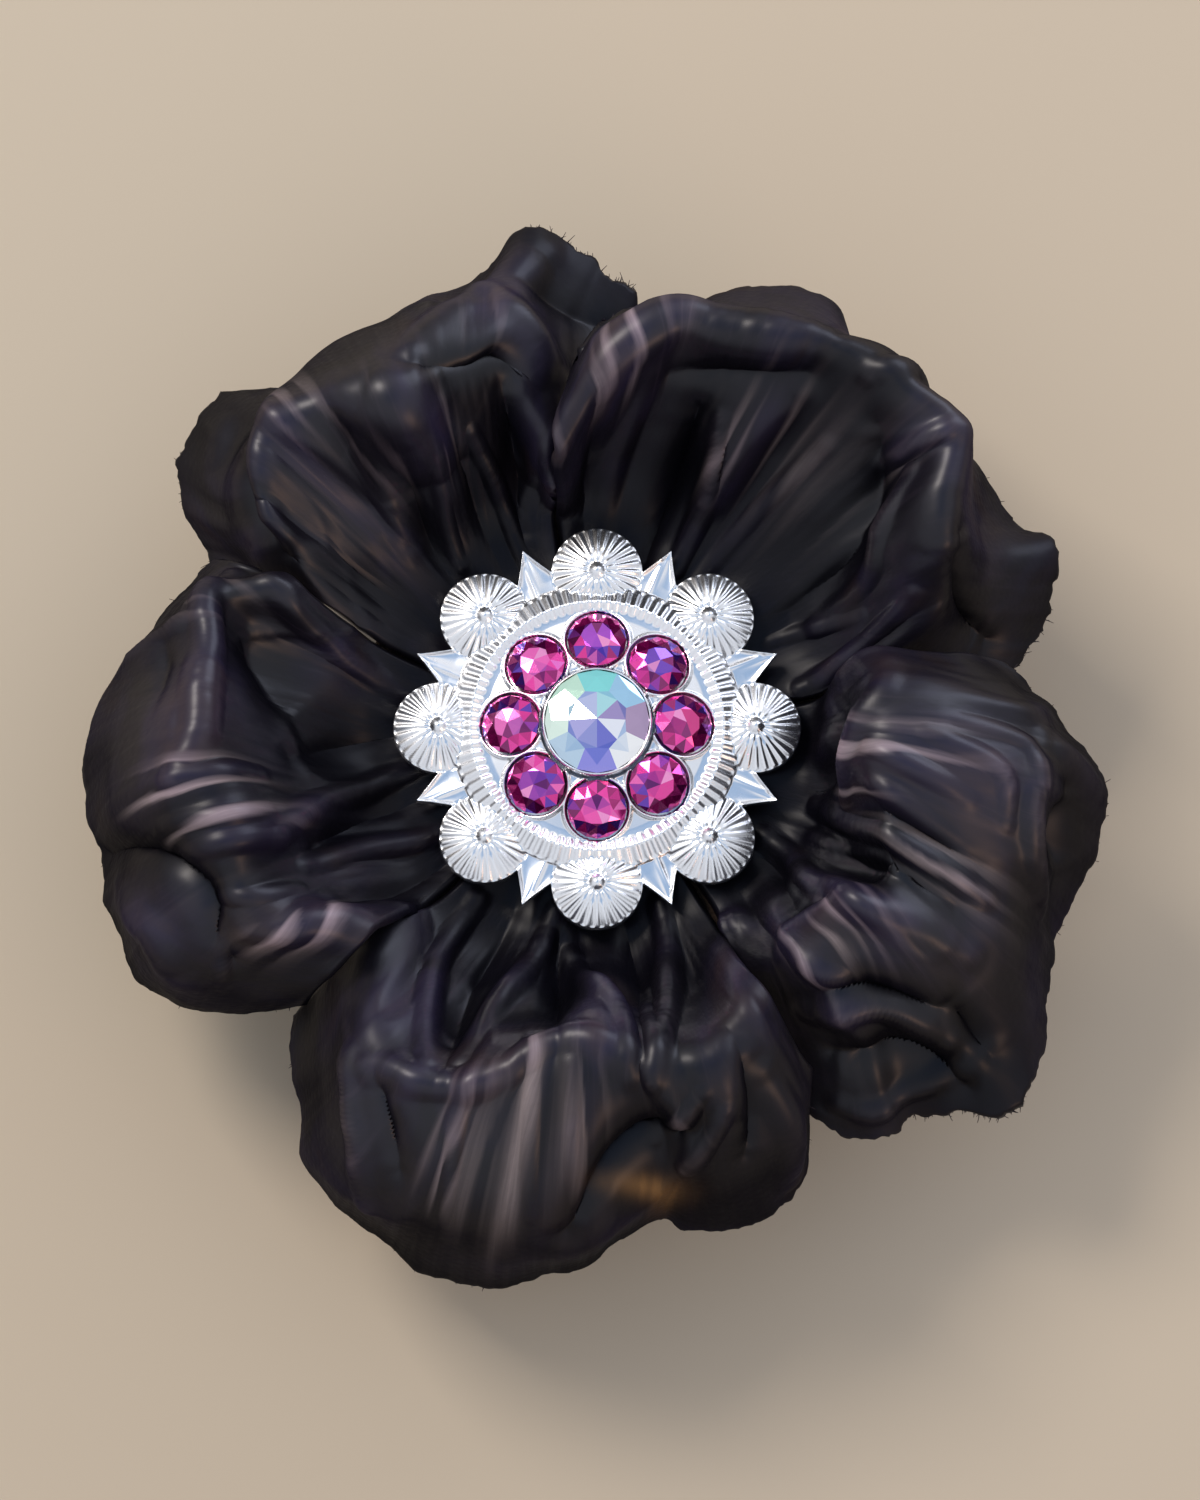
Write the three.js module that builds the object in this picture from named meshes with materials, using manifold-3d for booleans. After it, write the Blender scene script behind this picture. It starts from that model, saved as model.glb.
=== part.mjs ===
// Leather flower hair clip: five wet-formed leather petals, screwed under a berry concho set with
// crystals, on a leather and felt backing that is glued to a toothed alligator clip.
// Millimetres, +Z up (the way the flower faces). The origin lies on the concho's axis, on the flat
// underside of the clip's fixed arm, which is the face that grips the hair.
import * as THREE from "three";
import { ConvexGeometry } from "three/addons/geometries/ConvexGeometry.js";
import { mergeVertices } from "three/addons/utils/BufferGeometryUtils.js";
import Module from "manifold-3d";

const wasm = await Module();
wasm.setup();
const { cos, sin, PI } = Math;

// ---- Driving dimensions ------------------------------------------------------------------------

const GLUE = 0.05; // a glue line between two flat faces
const PRESSED = 0.2; // the same where a pleated root is pressed on to a flat one
const SLACK = 0.3; // play between two parts that don't touch

// Clip
const SHEET = 0.8; // stamped steel of the fixed arm
const ARM_TAIL = -25; // where the fixed arm ends, behind the hinge
const ARM_TIP = 31; // where it ends in front
const ARM_WIDTH = 7.6;
const TIP_WIDTH = 5.2;
const HINGE_X = -9;
const HINGE_DROP = 2.8; // the pin's axis below the grip face
const EAR_RADIUS = 2.2;
const PIN_RADIUS = 0.8;
const PIN_PLAY = 0.08;
const JAW_SHEET = 0.7; // stamped steel of the moving jaw
const LEVER_LENGTH = 17; // from the hinge to the thumb end
const LEVER_DROP = 8.4; // how far the thumb end hangs below the pin
const LEVER_WIDTH = 6.8;
const TEETH = 9;
const TOOTH_PITCH = 1.5;
const WIRE = 0.7; // spring wire
const SPRING_TURNS = 2.5;
const SPRING_LEG = 8;
const SPRING_LEVEL = 2.6; // how far the lever's leg runs level before it follows the lever down
const RIVET_HEAD = 0.5; // height of the pin's heads
const RIVET_RADIUS = 1.36;
const JAW_SIDE_PLAY = 0.25; // between the jaw's ears and the arm's
const BITE = 0.06; // between the jaw's teeth and the grip face when it is shut

// Backing
const FELT = 1.2;
const FELT_IN = 2; // how far the felt stays inside the leather disc
const BASE = 2.0; // the leather disc that the petals are glued to
const BASE_OUT = 3.1; // how far the disc reaches past the concho
const KEEPER = 1.0; // the leather strap that holds the arm down
const KEEPER_X = 8;
const KEEPER_LENGTH = 7;
const KEEPER_FOOT = 3.6;
const KEEPER_LEAN = 0.4; // how far the strap's sides lean in over the arm

// Petals
const FLOWER_WIDTH = 80; // across the open petals
const LEATHER = 1.1;
const HUB_RADIUS = 6; // where the petals' pleated roots start
const PLEATS = 3;
const PLEAT_HEIGHT = 0.3;
const PLEAT_FADE = 0.6; // share of a petal's length where the pleats have faded out
const VALLEY_OUT = 0.4; // a petal starts to rise this far outside the concho,
const VALLEY_UP = 0.15; // and this much higher than its root
const INNER_CLIMB = 0.42; // share of the rise that is done halfway up the inner slope
const BULGE_OUT = 0.75; // a bulge of 1 mm moves the leather this far outwards
const BULGE_UP = 0.66; // and this far up

// Concho
const CONCHO_RADIUS = 15.9; // over the berries, a 1 1/4 inch concho
const BERRIES = 8;
const BERRY_RADIUS = 3.55;
const BERRY_HEIGHT = 2.3;
const BERRY_EDGE = 1.0; // height where a berry's straight edge ends
const CAST_LIFT = 0.2; // the berries and leaves start this far above the casting's back
const PLATE = 1.4; // the casting's flat part
const STEP = 0.9; // the polished step inside the rope, above that
const LEAF_SHORT = 0.7; // how far the leaves' tips stay inside the berries' outline
const LEAF_WIDTH = 4.6;
const LEAF_THICK = 1.1;
const ROPE = 0.8; // half the rope ring's width
const ROPE_TOP = 3.1;
const POST_RADIUS = 2.2;
const THREAD_RADIUS = 1.45;

// Crystals
const ACCENT_RADIUS = 2.3; // ss20
const CRYSTAL_GAP = 0.12; // between two crystals, and from one to the cup
const ACCENT_TILT = 16; // degrees outwards
const ACCENT_CROWN = 1.0;
const ACCENT_PAVILION = 0.7;
const ACCENT_RISE = 1.1; // an accent's girdle above the plate
const CENTRE_RADIUS = 4.08; // ss39 rivoli
const CENTRE_CROWN = 1.5;
const CENTRE_PAVILION = 1.3;
const CUP_WALL = 0.2;
const CUP_LIFT = 0.4; // the cup's floor above the plate
const CUP_LIP = 0.7; // how far its wall stands over the pavilion's depth

// Screw
const SCREW_HEAD_RADIUS = 4;
const SCREW_HEAD = 0.9;
const SCREW_RADIUS = 1.25;
const SCREW_BITE = 0.5; // how far the screw reaches into the concho
const SLOT_WIDTH = 0.9;
const SLOT_DEPTH = 0.4;

// Radii that follow from those.
const ACCENT_RING = Math.max(
  CENTRE_RADIUS + CUP_WALL + CRYSTAL_GAP + ACCENT_RADIUS,
  (ACCENT_RADIUS + CRYSTAL_GAP) / sin(PI / BERRIES),
);
const ROPE_RADIUS = ACCENT_RING + ACCENT_RADIUS + GLUE + ROPE; // middle of the rope ring
const LEAF_TIP = CONCHO_RADIUS - LEAF_SHORT;
const BASE_RADIUS = CONCHO_RADIUS + BASE_OUT;
const FELT_RADIUS = BASE_RADIUS - FELT_IN;

// Heights that follow from them, counted from the grip face.
const ARM_TOP = SHEET;
const FELT_BOTTOM = ARM_TOP + GLUE;
const BASE_BOTTOM = FELT_BOTTOM + FELT + GLUE;
const BASE_TOP = BASE_BOTTOM + BASE;
const ROOT_HEIGHT = BASE_TOP + LEATHER / 2 + PLEAT_HEIGHT + PRESSED; // middle of the petals' roots
const CONCHO_BACK = ROOT_HEIGHT + LEATHER / 2 + PLEAT_HEIGHT + PRESSED;
const HINGE_Z = -HINGE_DROP;

// A petal's root is the sector that the concho clamps, from one bearing to another. The rest is drawn by
// ribs from its clockwise side to the other, and each rib by its crest, where the leather rolls over,
// and its rim. Bearings are in degrees from +X, reaches and heights in mm, and heights count from the
// grip face. The last number is how far the leather bulges between crest and rim: below zero it is
// hollow and the rim flares out. Reaches and heights are drawn for a flower 80 mm across.
//   crest: bearing, reach, height   rim: bearing, reach, height   bulge
const PETALS = {
  petal_upper_left: {
    root: [102.5, 157],
    ribs: [
      [97, 21.5, 8.5, 84, 34, 4, 0.4],
      [99, 25, 11, 90, 37, 5, 0],
      [104, 29, 15.5, 97, 40, 7, -0.8],
      [111, 29, 17.5, 104.5, 37, 5, 0.8],
      [118, 29, 18.5, 114, 37, 3, 2.4],
      [126, 29.5, 18, 123, 37, 2.5, 3],
      [133, 32, 16.5, 130.5, 36.3, 2.5, 2],
      [139.5, 34, 15.5, 137.5, 40.3, 4, -0.8],
      [145, 32.5, 15, 144.5, 40.3, 3.5, -1.8],
      [150, 29, 13.5, 150.5, 37, 3, -1.2],
      [155, 25, 9.5, 155.5, 32, 3, 0],
    ],
  },
  petal_upper_right: {
    root: [10, 99.5],
    ribs: [
      [13, 23, 8.5, 8, 31.5, 3.5, 0.2],
      [17.5, 28, 12.5, 14, 36, 3.5, -0.6],
      [24.5, 29.5, 16, 21, 37.8, 4, -1.6],
      [31, 31, 17.5, 28, 36, 4, -0.6],
      [38, 34.5, 17.5, 37, 35.5, 8, 0.8],
      [46, 34, 18.5, 46, 34.5, 5, 1.8],
      [55, 33.5, 18.5, 54, 35, 4, 1.2],
      [63, 32.5, 18.5, 62, 38.3, 5, -1.2],
      [71, 31.5, 18, 70, 37, 6, -1],
      [79, 30.5, 17.5, 78, 34, 8, 0.2],
      [89, 26, 17.5, 86, 31.5, 13, 0.8],
      [99, 20.5, 14.5, 93, 28.5, 16, 0.4],
    ],
  },
  petal_right: {
    root: [-56, 7],
    ribs: [
      [-60, 22, 8.5, -62.5, 31, 4, 0.4],
      [-52, 25, 12.5, -57, 37, 2.5, 0.8],
      [-46, 25.5, 15.5, -50, 38.5, 2.5, 1.6],
      [-38.5, 25.5, 16.5, -42.5, 43, 4, 0.8],
      [-31, 26, 17, -34, 41, 2.5, 2.6],
      [-22, 24, 18, -24.5, 38, 1.5, 4.4],
      [-13, 22.5, 18.5, -14.5, 39.5, 3.5, 4.6],
      [-5, 22, 18.5, -5, 39, 6, 4.2],
      [3, 22.5, 17.5, 2, 35, 8, 3],
      [11.5, 21.5, 14, 8.5, 31, 10.5, 1.2],
    ],
  },
  petal_lower: {
    root: [-131, -60],
    ribs: [
      [-136, 24, 8.5, -136, 32, 3.5, 0.4],
      [-125, 30.5, 14, -127, 37.5, 2, 1.6],
      [-117, 32, 16.5, -119.5, 41.5, 0.5, 3],
      [-109, 30.5, 17.5, -110, 43, -0.5, 4.4],
      [-100, 28, 18.5, -100.5, 42.5, -0.5, 5.6],
      [-91, 27, 18.5, -91.5, 41.5, 0, 5.4],
      [-83, 28, 18, -82, 38, 2, 2.4],
      [-75, 29, 18.5, -74.5, 39.3, 2.5, 2.6],
      [-68, 28, 18, -66.5, 38.5, 3, 2.4],
      [-61, 25.5, 15.5, -60.5, 32.5, 8, 1.4],
    ],
  },
  petal_left: {
    root: [160, 226],
    ribs: [
      [156.5, 26, 13, 156.5, 32.4, 9, 0.4],
      [164, 30.5, 15.5, 165, 35.3, 4, 1],
      [171, 30.5, 16.5, 174.5, 38.3, 3, 1.8],
      [178, 30.3, 17.5, 181, 39.6, 2.5, 2],
      [186, 30, 18.5, 188, 39.5, 2.5, 3],
      [195.5, 30, 18.5, 196, 39.7, 1.5, 3.2],
      [205, 30.5, 17.5, 205, 40, 1.5, 2.6],
      [213.5, 30, 16, 214, 38, 3.5, 2.2],
      [224.5, 25, 13.5, 224, 32, 9.5, 0.6],
    ],
  },
};
const RIB_STEPS = 24; // facets across a petal
const LENGTH_STEPS = 12; // facets from root to rim

// ---- Shape helpers -------------------------------------------------------------------------------

const degrees = (angle) => (angle * PI) / 180;
const polar = (bearing, reach, height) =>
  new THREE.Vector3(reach * cos(degrees(bearing)), reach * sin(degrees(bearing)), height);

// A closed geometry as a manifold-3d solid.
function solid(geometry) {
  const bare = geometry.index ? geometry.toNonIndexed() : geometry.clone();
  for (const name of Object.keys(bare.attributes)) {
    if (name !== "position") bare.deleteAttribute(name);
  }
  const merged = mergeVertices(bare, 1e-4);
  return new wasm.Manifold(
    new wasm.Mesh({
      numProp: 3,
      vertProperties: merged.attributes.position.array,
      triVerts: new Uint32Array(merged.index.array),
    }),
  );
}

// A manifold-3d solid as a geometry.
function geometryOf(made) {
  const { numProp, vertProperties, triVerts } = made.getMesh();
  const positions = new Float32Array((vertProperties.length / numProp) * 3);
  for (let i = 0; i * numProp < vertProperties.length; i++) {
    positions.set(vertProperties.subarray(i * numProp, i * numProp + 3), i * 3);
  }
  return new THREE.BufferGeometry()
    .setAttribute("position", new THREE.BufferAttribute(positions, 3))
    .setIndex(new THREE.BufferAttribute(triVerts, 1));
}

// Round about +Z: a profile of [radius, height] pairs, given upwards and outwards first.
function turned(profile, segments) {
  const points = profile.map(([radius, height]) => new THREE.Vector2(radius, height));
  return new THREE.LatheGeometry(points, segments).rotateX(PI / 2);
}

// A plain rod about +Z from one height to another.
function rod(radius, from, to, segments = 24) {
  return new THREE.CylinderGeometry(radius, radius, to - from, segments)
    .rotateX(PI / 2)
    .translate(0, 0, (from + to) / 2);
}

// The same about +Y, at the hinge.
function hingeRod(radius, from, to, segments = 20) {
  return new THREE.CylinderGeometry(radius, radius, to - from, segments)
    .translate(HINGE_X, (from + to) / 2, HINGE_Z);
}

function block(x0, x1, y0, y1, z0, z1) {
  return new THREE.BoxGeometry(x1 - x0, y1 - y0, z1 - z0)
    .translate((x0 + x1) / 2, (y0 + y1) / 2, (z0 + z1) / 2);
}

// An outline of [x, z] pairs, thickened along Y.
function sidePlate(outline, y0, y1) {
  const shape = new THREE.Shape(outline.map(([x, z]) => new THREE.Vector2(x, z)));
  return new THREE.ExtrudeGeometry(shape, { depth: y1 - y0, bevelEnabled: false })
    .rotateX(PI / 2)
    .translate(0, y1, 0);
}

// A closed body through rings of the same number of points, each ring anticlockwise seen from its end.
function loft(rings) {
  const count = rings[0].length;
  const index = [];
  for (let i = 0; i < count; i++) {
    const next = (i + 1) % count;
    for (let j = 0; j + 1 < rings.length; j++) {
      const [a, b] = [j * count, (j + 1) * count];
      index.push(a + i, a + next, b + next, a + i, b + next, b + i);
    }
    if (i > 0 && i < count - 1) {
      const last = (rings.length - 1) * count;
      index.push(0, i + 1, i, last, last + i, last + i + 1);
    }
  }
  return new THREE.BufferGeometry()
    .setAttribute("position", new THREE.Float32BufferAttribute(rings.flat(2), 3))
    .setIndex(index);
}

const union = (solids) => solids.reduce((all, next) => all.add(next));

// ---- Materials -----------------------------------------------------------------------------------

const finish = (color, roughness, metalness = 0) =>
  new THREE.MeshStandardMaterial({ color, roughness, metalness });
const blackLeather = finish(0x1b171c, 0.42);
const backingLeather = finish(0x2a211d, 0.7);
const blackFelt = finish(0x17161a, 0.95);
const silverPlate = finish(0xdfe2e8, 0.2, 1);
const fuchsiaCrystal = finish(0xb0166f, 0.05);
const clearCrystal = finish(0xdcebf2, 0.03);
const nickelSteel = finish(0xbfc0c2, 0.28, 1);
const springSteel = finish(0x8f9094, 0.35, 1);

const flower = new THREE.Group();

function add(name, geometry, material) {
  const mesh = new THREE.Mesh(geometry, material);
  mesh.name = name;
  flower.add(mesh);
  return mesh;
}

// ---- Petals --------------------------------------------------------------------------------------

// A line through points, read at a share from 0 to 1.
const through = (points) => new THREE.CatmullRomCurve3(points, false, "catmullrom", 0.5);

// The rails that run across a petal: root, hub edge, inner slope, crest, shoulder and rim.
function railsOf({ root, ribs }) {
  const rails = [[], [], [], [], [], []];
  const valleyReach = CONCHO_RADIUS + VALLEY_OUT;
  const size = FLOWER_WIDTH / 80;
  ribs.forEach(([crestBearing, crestDrawn, crestUp, rimBearing, rimDrawn, rimUp, bulge], i) => {
    const share = i / (ribs.length - 1);
    const bearing = root[0] + (root[1] - root[0]) * share;
    const crestReach = Math.max(crestDrawn * size, valleyReach + LEATHER);
    const crestHeight = crestUp * size;
    const crest = polar(crestBearing, crestReach, crestHeight);
    const rim = polar(rimBearing, rimDrawn * size, rimUp * size);
    const outwards = polar((crestBearing + rimBearing) / 2, BULGE_OUT, BULGE_UP);
    rails[0].push(polar(bearing, HUB_RADIUS, ROOT_HEIGHT));
    rails[1].push(polar(bearing, valleyReach, ROOT_HEIGHT + VALLEY_UP * size ** 3));
    rails[2].push(
      polar(
        0.5 * (bearing + crestBearing),
        valleyReach + 0.5 * (crestReach - valleyReach),
        ROOT_HEIGHT + INNER_CLIMB * (crestHeight - ROOT_HEIGHT),
      ),
    );
    rails[3].push(crest);
    rails[4].push(crest.clone().lerp(rim, 0.5).addScaledVector(outwards, bulge));
    rails[5].push(rim);
  });
  return rails.map(through);
}

// Height of the pleats at a share of the way across: they gather the root and fade out to the crest.
const pleat = (across, along) =>
  PLEAT_HEIGHT * cos(2 * PI * PLEATS * across) * Math.max(0, 1 - along / PLEAT_FADE);

// A leather sheet of even thickness on both sides of the petal's middle surface.
function petalGeometry(petal) {
  const rails = railsOf(petal);
  const middle = (across, along) => {
    const point = through(rails.map((rail) => rail.getPoint(across))).getPoint(along);
    point.z += pleat(across, along);
    return point;
  };
  const small = 0.01;
  const clamp = (x) => Math.min(1, Math.max(0, x));
  const positions = [];
  for (const side of [1, -1]) {
    for (let i = 0; i <= RIB_STEPS; i++) {
      for (let j = 0; j <= LENGTH_STEPS; j++) {
        const across = i / RIB_STEPS;
        const along = j / LENGTH_STEPS;
        const step = (du, dv) => middle(clamp(across + du), clamp(along + dv));
        const alongWay = step(0, small).sub(step(0, -small));
        const acrossWay = step(small, 0).sub(step(-small, 0));
        const normal = alongWay.cross(acrossWay).normalize();
        const point = middle(across, along).addScaledVector(normal, (side * LEATHER) / 2);
        positions.push(point.x, point.y, point.z);
      }
    }
  }
  const columns = LENGTH_STEPS + 1;
  const under = (RIB_STEPS + 1) * columns;
  const at = (i, j, offset) => offset + i * columns + j;
  const index = [];
  const quad = (a, b, c, d) => index.push(a, b, c, a, c, d);
  for (let i = 0; i < RIB_STEPS; i++) {
    for (let j = 0; j < LENGTH_STEPS; j++) {
      quad(at(i, j, 0), at(i, j + 1, 0), at(i + 1, j + 1, 0), at(i + 1, j, 0));
      quad(at(i, j, under), at(i + 1, j, under), at(i + 1, j + 1, under), at(i, j + 1, under));
    }
    quad(at(i, 0, 0), at(i + 1, 0, 0), at(i + 1, 0, under), at(i, 0, under));
    quad(
      at(i, LENGTH_STEPS, 0),
      at(i, LENGTH_STEPS, under),
      at(i + 1, LENGTH_STEPS, under),
      at(i + 1, LENGTH_STEPS, 0),
    );
  }
  for (let j = 0; j < LENGTH_STEPS; j++) {
    quad(at(0, j, 0), at(0, j, under), at(0, j + 1, under), at(0, j + 1, 0));
    quad(
      at(RIB_STEPS, j, 0),
      at(RIB_STEPS, j + 1, 0),
      at(RIB_STEPS, j + 1, under),
      at(RIB_STEPS, j, under),
    );
  }
  return new THREE.BufferGeometry()
    .setAttribute("position", new THREE.Float32BufferAttribute(positions, 3))
    .setIndex(index);
}

for (const [name, petal] of Object.entries(PETALS)) add(name, petalGeometry(petal), blackLeather);

// ---- Backing -------------------------------------------------------------------------------------

const headRecess = SCREW_HEAD + 2 * GLUE;
const screwWay = POST_RADIUS + SLACK;
const leatherDisc = solid(rod(BASE_RADIUS, BASE_BOTTOM, BASE_TOP, 40))
  .subtract(solid(rod(screwWay, BASE_BOTTOM - 1, BASE_TOP + 1)))
  .subtract(solid(rod(SCREW_HEAD_RADIUS + SLACK, BASE_BOTTOM - 1, BASE_BOTTOM + headRecess)));
add("leather_base_disc", geometryOf(leatherDisc), backingLeather);

add("felt_backing", rod(FELT_RADIUS, FELT_BOTTOM, FELT_BOTTOM + FELT, 40), blackFelt);

// The strap's section across the arm: two glued feet and a bridge over it.
function keeperGeometry() {
  const inner = ARM_WIDTH / 2 + SLACK;
  const outer = inner + KEEPER;
  const foot = outer + KEEPER_FOOT;
  const top = FELT_BOTTOM - GLUE;
  const outline = [
    [foot, top],
    [foot, top - KEEPER],
    [outer, top - KEEPER],
    [outer - KEEPER_LEAN, -GLUE - KEEPER],
    [KEEPER_LEAN - outer, -GLUE - KEEPER],
    [-outer, top - KEEPER],
    [-foot, top - KEEPER],
    [-foot, top],
    [-inner, top],
    [-inner, -GLUE],
    [inner, -GLUE],
    [inner, top],
  ];
  const shape = new THREE.Shape(outline.map(([y, z]) => new THREE.Vector2(y, z)));
  return new THREE.ExtrudeGeometry(shape, { depth: KEEPER_LENGTH, bevelEnabled: false })
    .rotateX(PI / 2)
    .rotateZ(PI / 2)
    .translate(KEEPER_X, 0, 0);
}
add("clip_keeper_strap", keeperGeometry(), backingLeather);

// ---- Concho --------------------------------------------------------------------------------------

const berryRing = CONCHO_RADIUS - BERRY_RADIUS;
const cupRadius = CENTRE_RADIUS + CUP_WALL;
const cupFloor = PLATE + CUP_LIFT;
const cupTop = cupFloor + CENTRE_PAVILION + CUP_LIP;
const accentHeight = PLATE + ACCENT_RISE;

const berry = turned(
  [
    [0, CAST_LIFT],
    [BERRY_RADIUS, CAST_LIFT],
    [BERRY_RADIUS, BERRY_EDGE],
    [0.8 * BERRY_RADIUS, 0.75 * BERRY_HEIGHT],
    [0.4 * BERRY_RADIUS, 0.97 * BERRY_HEIGHT],
    [0, BERRY_HEIGHT],
  ],
  14,
);

// A leaf between two berries: a web as wide as the gap, then concave sides to a point.
function leaf() {
  const half = [
    [ROPE_RADIUS - 2, 0.5 * LEAF_WIDTH],
    [berryRing - 1, 0.5 * LEAF_WIDTH],
    [berryRing + 0.9, 0.3 * LEAF_WIDTH],
    [berryRing + 1.7, 0.15 * LEAF_WIDTH],
  ];
  const mirrored = half.map(([x, y]) => [x, -y]);
  const outline = [...mirrored, [LEAF_TIP, 0], ...half.reverse()];
  const shape = new THREE.Shape(outline.map(([x, y]) => new THREE.Vector2(x, y)));
  return new THREE.ExtrudeGeometry(shape, { depth: LEAF_THICK, bevelEnabled: false })
    .translate(0, 0, CAST_LIFT);
}

// The round plate with the rope ring and, inside it, the step up to the cup.
const plate = turned(
  [
    [0, 0],
    [berryRing - 0.6, 0],
    [berryRing - 0.2, 0.6],
    [berryRing - 0.6, PLATE],
    [ROPE_RADIUS + ROPE, PLATE],
    [ROPE_RADIUS + ROPE, ROPE_TOP - 0.5],
    [ROPE_RADIUS + 0.4 * ROPE, ROPE_TOP],
    [ROPE_RADIUS - 0.4 * ROPE, ROPE_TOP],
    [ROPE_RADIUS - ROPE, ROPE_TOP - 0.5],
    [ROPE_RADIUS - ROPE, PLATE + 0.2],
    [cupRadius + 0.5, PLATE + STEP],
    [0, PLATE + STEP],
  ],
  40,
);

function conchoGeometry() {
  const postEnd = BASE_BOTTOM + headRecess + SLACK - CONCHO_BACK;
  const parts = [solid(plate), solid(rod(POST_RADIUS, postEnd, 0.3))];
  for (let i = 0; i < BERRIES; i++) {
    const turn = (2 * PI * i) / BERRIES;
    parts.push(solid(berry.clone().translate(berryRing, 0, 0).rotateZ(turn)));
    parts.push(solid(leaf().rotateZ(turn + PI / BERRIES)));
  }
  let concho = union(parts);
  for (let i = 0; i < BERRIES; i++) {
    const pocket = rod(ACCENT_RADIUS + SLACK / 2, -ACCENT_PAVILION - SLACK / 2, 3, 16);
    concho = concho.subtract(solid(accentSeat(pocket, i)));
  }
  concho = concho
    .subtract(solid(rod(cupRadius + SLACK / 2, cupFloor - GLUE, ROPE_TOP + 1, 32)))
    .subtract(solid(rod(THREAD_RADIUS, -CONCHO_BACK, PLATE - 0.4, 16)));
  return geometryOf(concho);
}

// Puts an accent's geometry, made about its girdle, in its place on the concho.
function accentSeat(geometry, i) {
  return geometry
    .rotateY(degrees(ACCENT_TILT))
    .translate(ACCENT_RING, 0, accentHeight)
    .rotateZ((2 * PI * i) / BERRIES);
}

add("concho", conchoGeometry(), silverPlate).position.z = CONCHO_BACK;

// ---- Crystals ------------------------------------------------------------------------------------

// Points on a circle, as corners of a faceted stone.
const corners = (count, radius, height, turn = 0) =>
  Array.from({ length: count }, (_, i) => {
    const angle = (2 * PI * (i + turn)) / count;
    return new THREE.Vector3(radius * cos(angle), radius * sin(angle), height);
  });

// A chaton: a flat table, eight crown facets, a girdle, and a flat foiled back.
const accentStone = () =>
  new ConvexGeometry([
    ...corners(8, 0.5 * ACCENT_RADIUS, ACCENT_CROWN),
    ...corners(8, 0.86 * ACCENT_RADIUS, 0.48 * ACCENT_CROWN, 0.5),
    ...corners(16, ACCENT_RADIUS, 0.1),
    ...corners(16, ACCENT_RADIUS, -0.1),
    ...corners(8, 0.55 * ACCENT_RADIUS, -ACCENT_PAVILION, 0.5),
  ]);
for (let i = 0; i < BERRIES; i++) {
  add("accent_crystal_" + (i + 1), accentSeat(accentStone(), i), fuchsiaCrystal).position.z = CONCHO_BACK;
}

// A rivoli: facets that meet in a point in front, and again behind.
const rivoli = new ConvexGeometry([
  new THREE.Vector3(0, 0, CENTRE_CROWN),
  ...corners(8, 0.62 * CENTRE_RADIUS, 0.68 * CENTRE_CROWN, 0.5),
  ...corners(16, CENTRE_RADIUS, 0.12),
  ...corners(16, CENTRE_RADIUS, -0.12),
  new THREE.Vector3(0, 0, -CENTRE_PAVILION),
]);
const girdle = cupTop - 0.15;
add("centre_crystal", rivoli, clearCrystal).position.z = CONCHO_BACK + girdle;

// The cup that the centre crystal drops into: a floor, a conical seat and a thin wall.
const cup = turned(
  [
    [0, cupFloor],
    [cupRadius, cupFloor],
    [cupRadius, cupTop],
    [CENTRE_RADIUS + 0.06, cupTop],
    [CENTRE_RADIUS + 0.06, girdle - 0.2],
    [0, girdle - CENTRE_PAVILION - 0.12],
  ],
  32,
);
add("crystal_cup", cup, silverPlate).position.z = CONCHO_BACK;

// ---- Screw ---------------------------------------------------------------------------------------

const headBottom = BASE_BOTTOM + GLUE;
const slotReach = SCREW_HEAD_RADIUS + 1;
const slot = block(
  -slotReach,
  slotReach,
  -SLOT_WIDTH / 2,
  SLOT_WIDTH / 2,
  headBottom - 1,
  headBottom + SLOT_DEPTH,
);
const screw = solid(rod(SCREW_HEAD_RADIUS, headBottom, headBottom + SCREW_HEAD))
  .add(solid(rod(SCREW_RADIUS, headBottom + SCREW_HEAD / 2, CONCHO_BACK + SCREW_BITE, 16)))
  .subtract(solid(slot));
add("concho_screw", geometryOf(screw), nickelSteel);

// ---- Clip ----------------------------------------------------------------------------------------

// The share of its full width that a round end has at a distance from the end.
function roundEnd(distance, radius) {
  if (distance >= radius) return 1;
  return Math.sqrt(radius ** 2 - (radius - distance) ** 2) / radius;
}

// Half the fixed arm's width at x: even at the back, then narrower and narrower to a round tip.
// Both ends are cut off blunt, at a third and at half of the width.
function armHalfWidth(x) {
  const share = Math.max(0, (x - HINGE_X) / (ARM_TIP - HINGE_X));
  const straight = (ARM_WIDTH - (ARM_WIDTH - TIP_WIDTH) * share ** 1.3) / 2;
  const tip = Math.max(0.35, roundEnd(ARM_TIP - x, TIP_WIDTH / 2));
  const tail = Math.max(0.5, roundEnd(x - ARM_TAIL, 2));
  return straight * tip * tail;
}

// The arm's strip, as cross-sections from tail to tip. They lie close together at the round ends and
// wide apart in the middle, where the sheet is plain.
function armStrip() {
  const length = ARM_TIP - ARM_TAIL;
  const stations = [0, 0.5, 1.3, 2.6, 7, 12, 16, 20.5, 31, 36, 42, 47, 51, 53.4, 54.7, 55.5, 56];
  return loft(
    stations.map((station) => {
      const x = ARM_TAIL + (station / stations.at(-1)) * length;
      const half = armHalfWidth(x);
      return [
        [x, half, 0],
        [x, half, SHEET],
        [x, -half, SHEET],
        [x, -half, 0],
      ];
    }),
  );
}

// A round ear about the pin, joined to the sheet at a height above or below it.
function ear(y0, y1, joinZ) {
  const disc = hingeRod(EAR_RADIUS, y0, y1);
  const web = block(
    HINGE_X - EAR_RADIUS,
    HINGE_X + EAR_RADIUS,
    y0,
    y1,
    Math.min(joinZ, HINGE_Z),
    Math.max(joinZ, HINGE_Z),
  );
  return solid(disc).add(solid(web));
}

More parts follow.
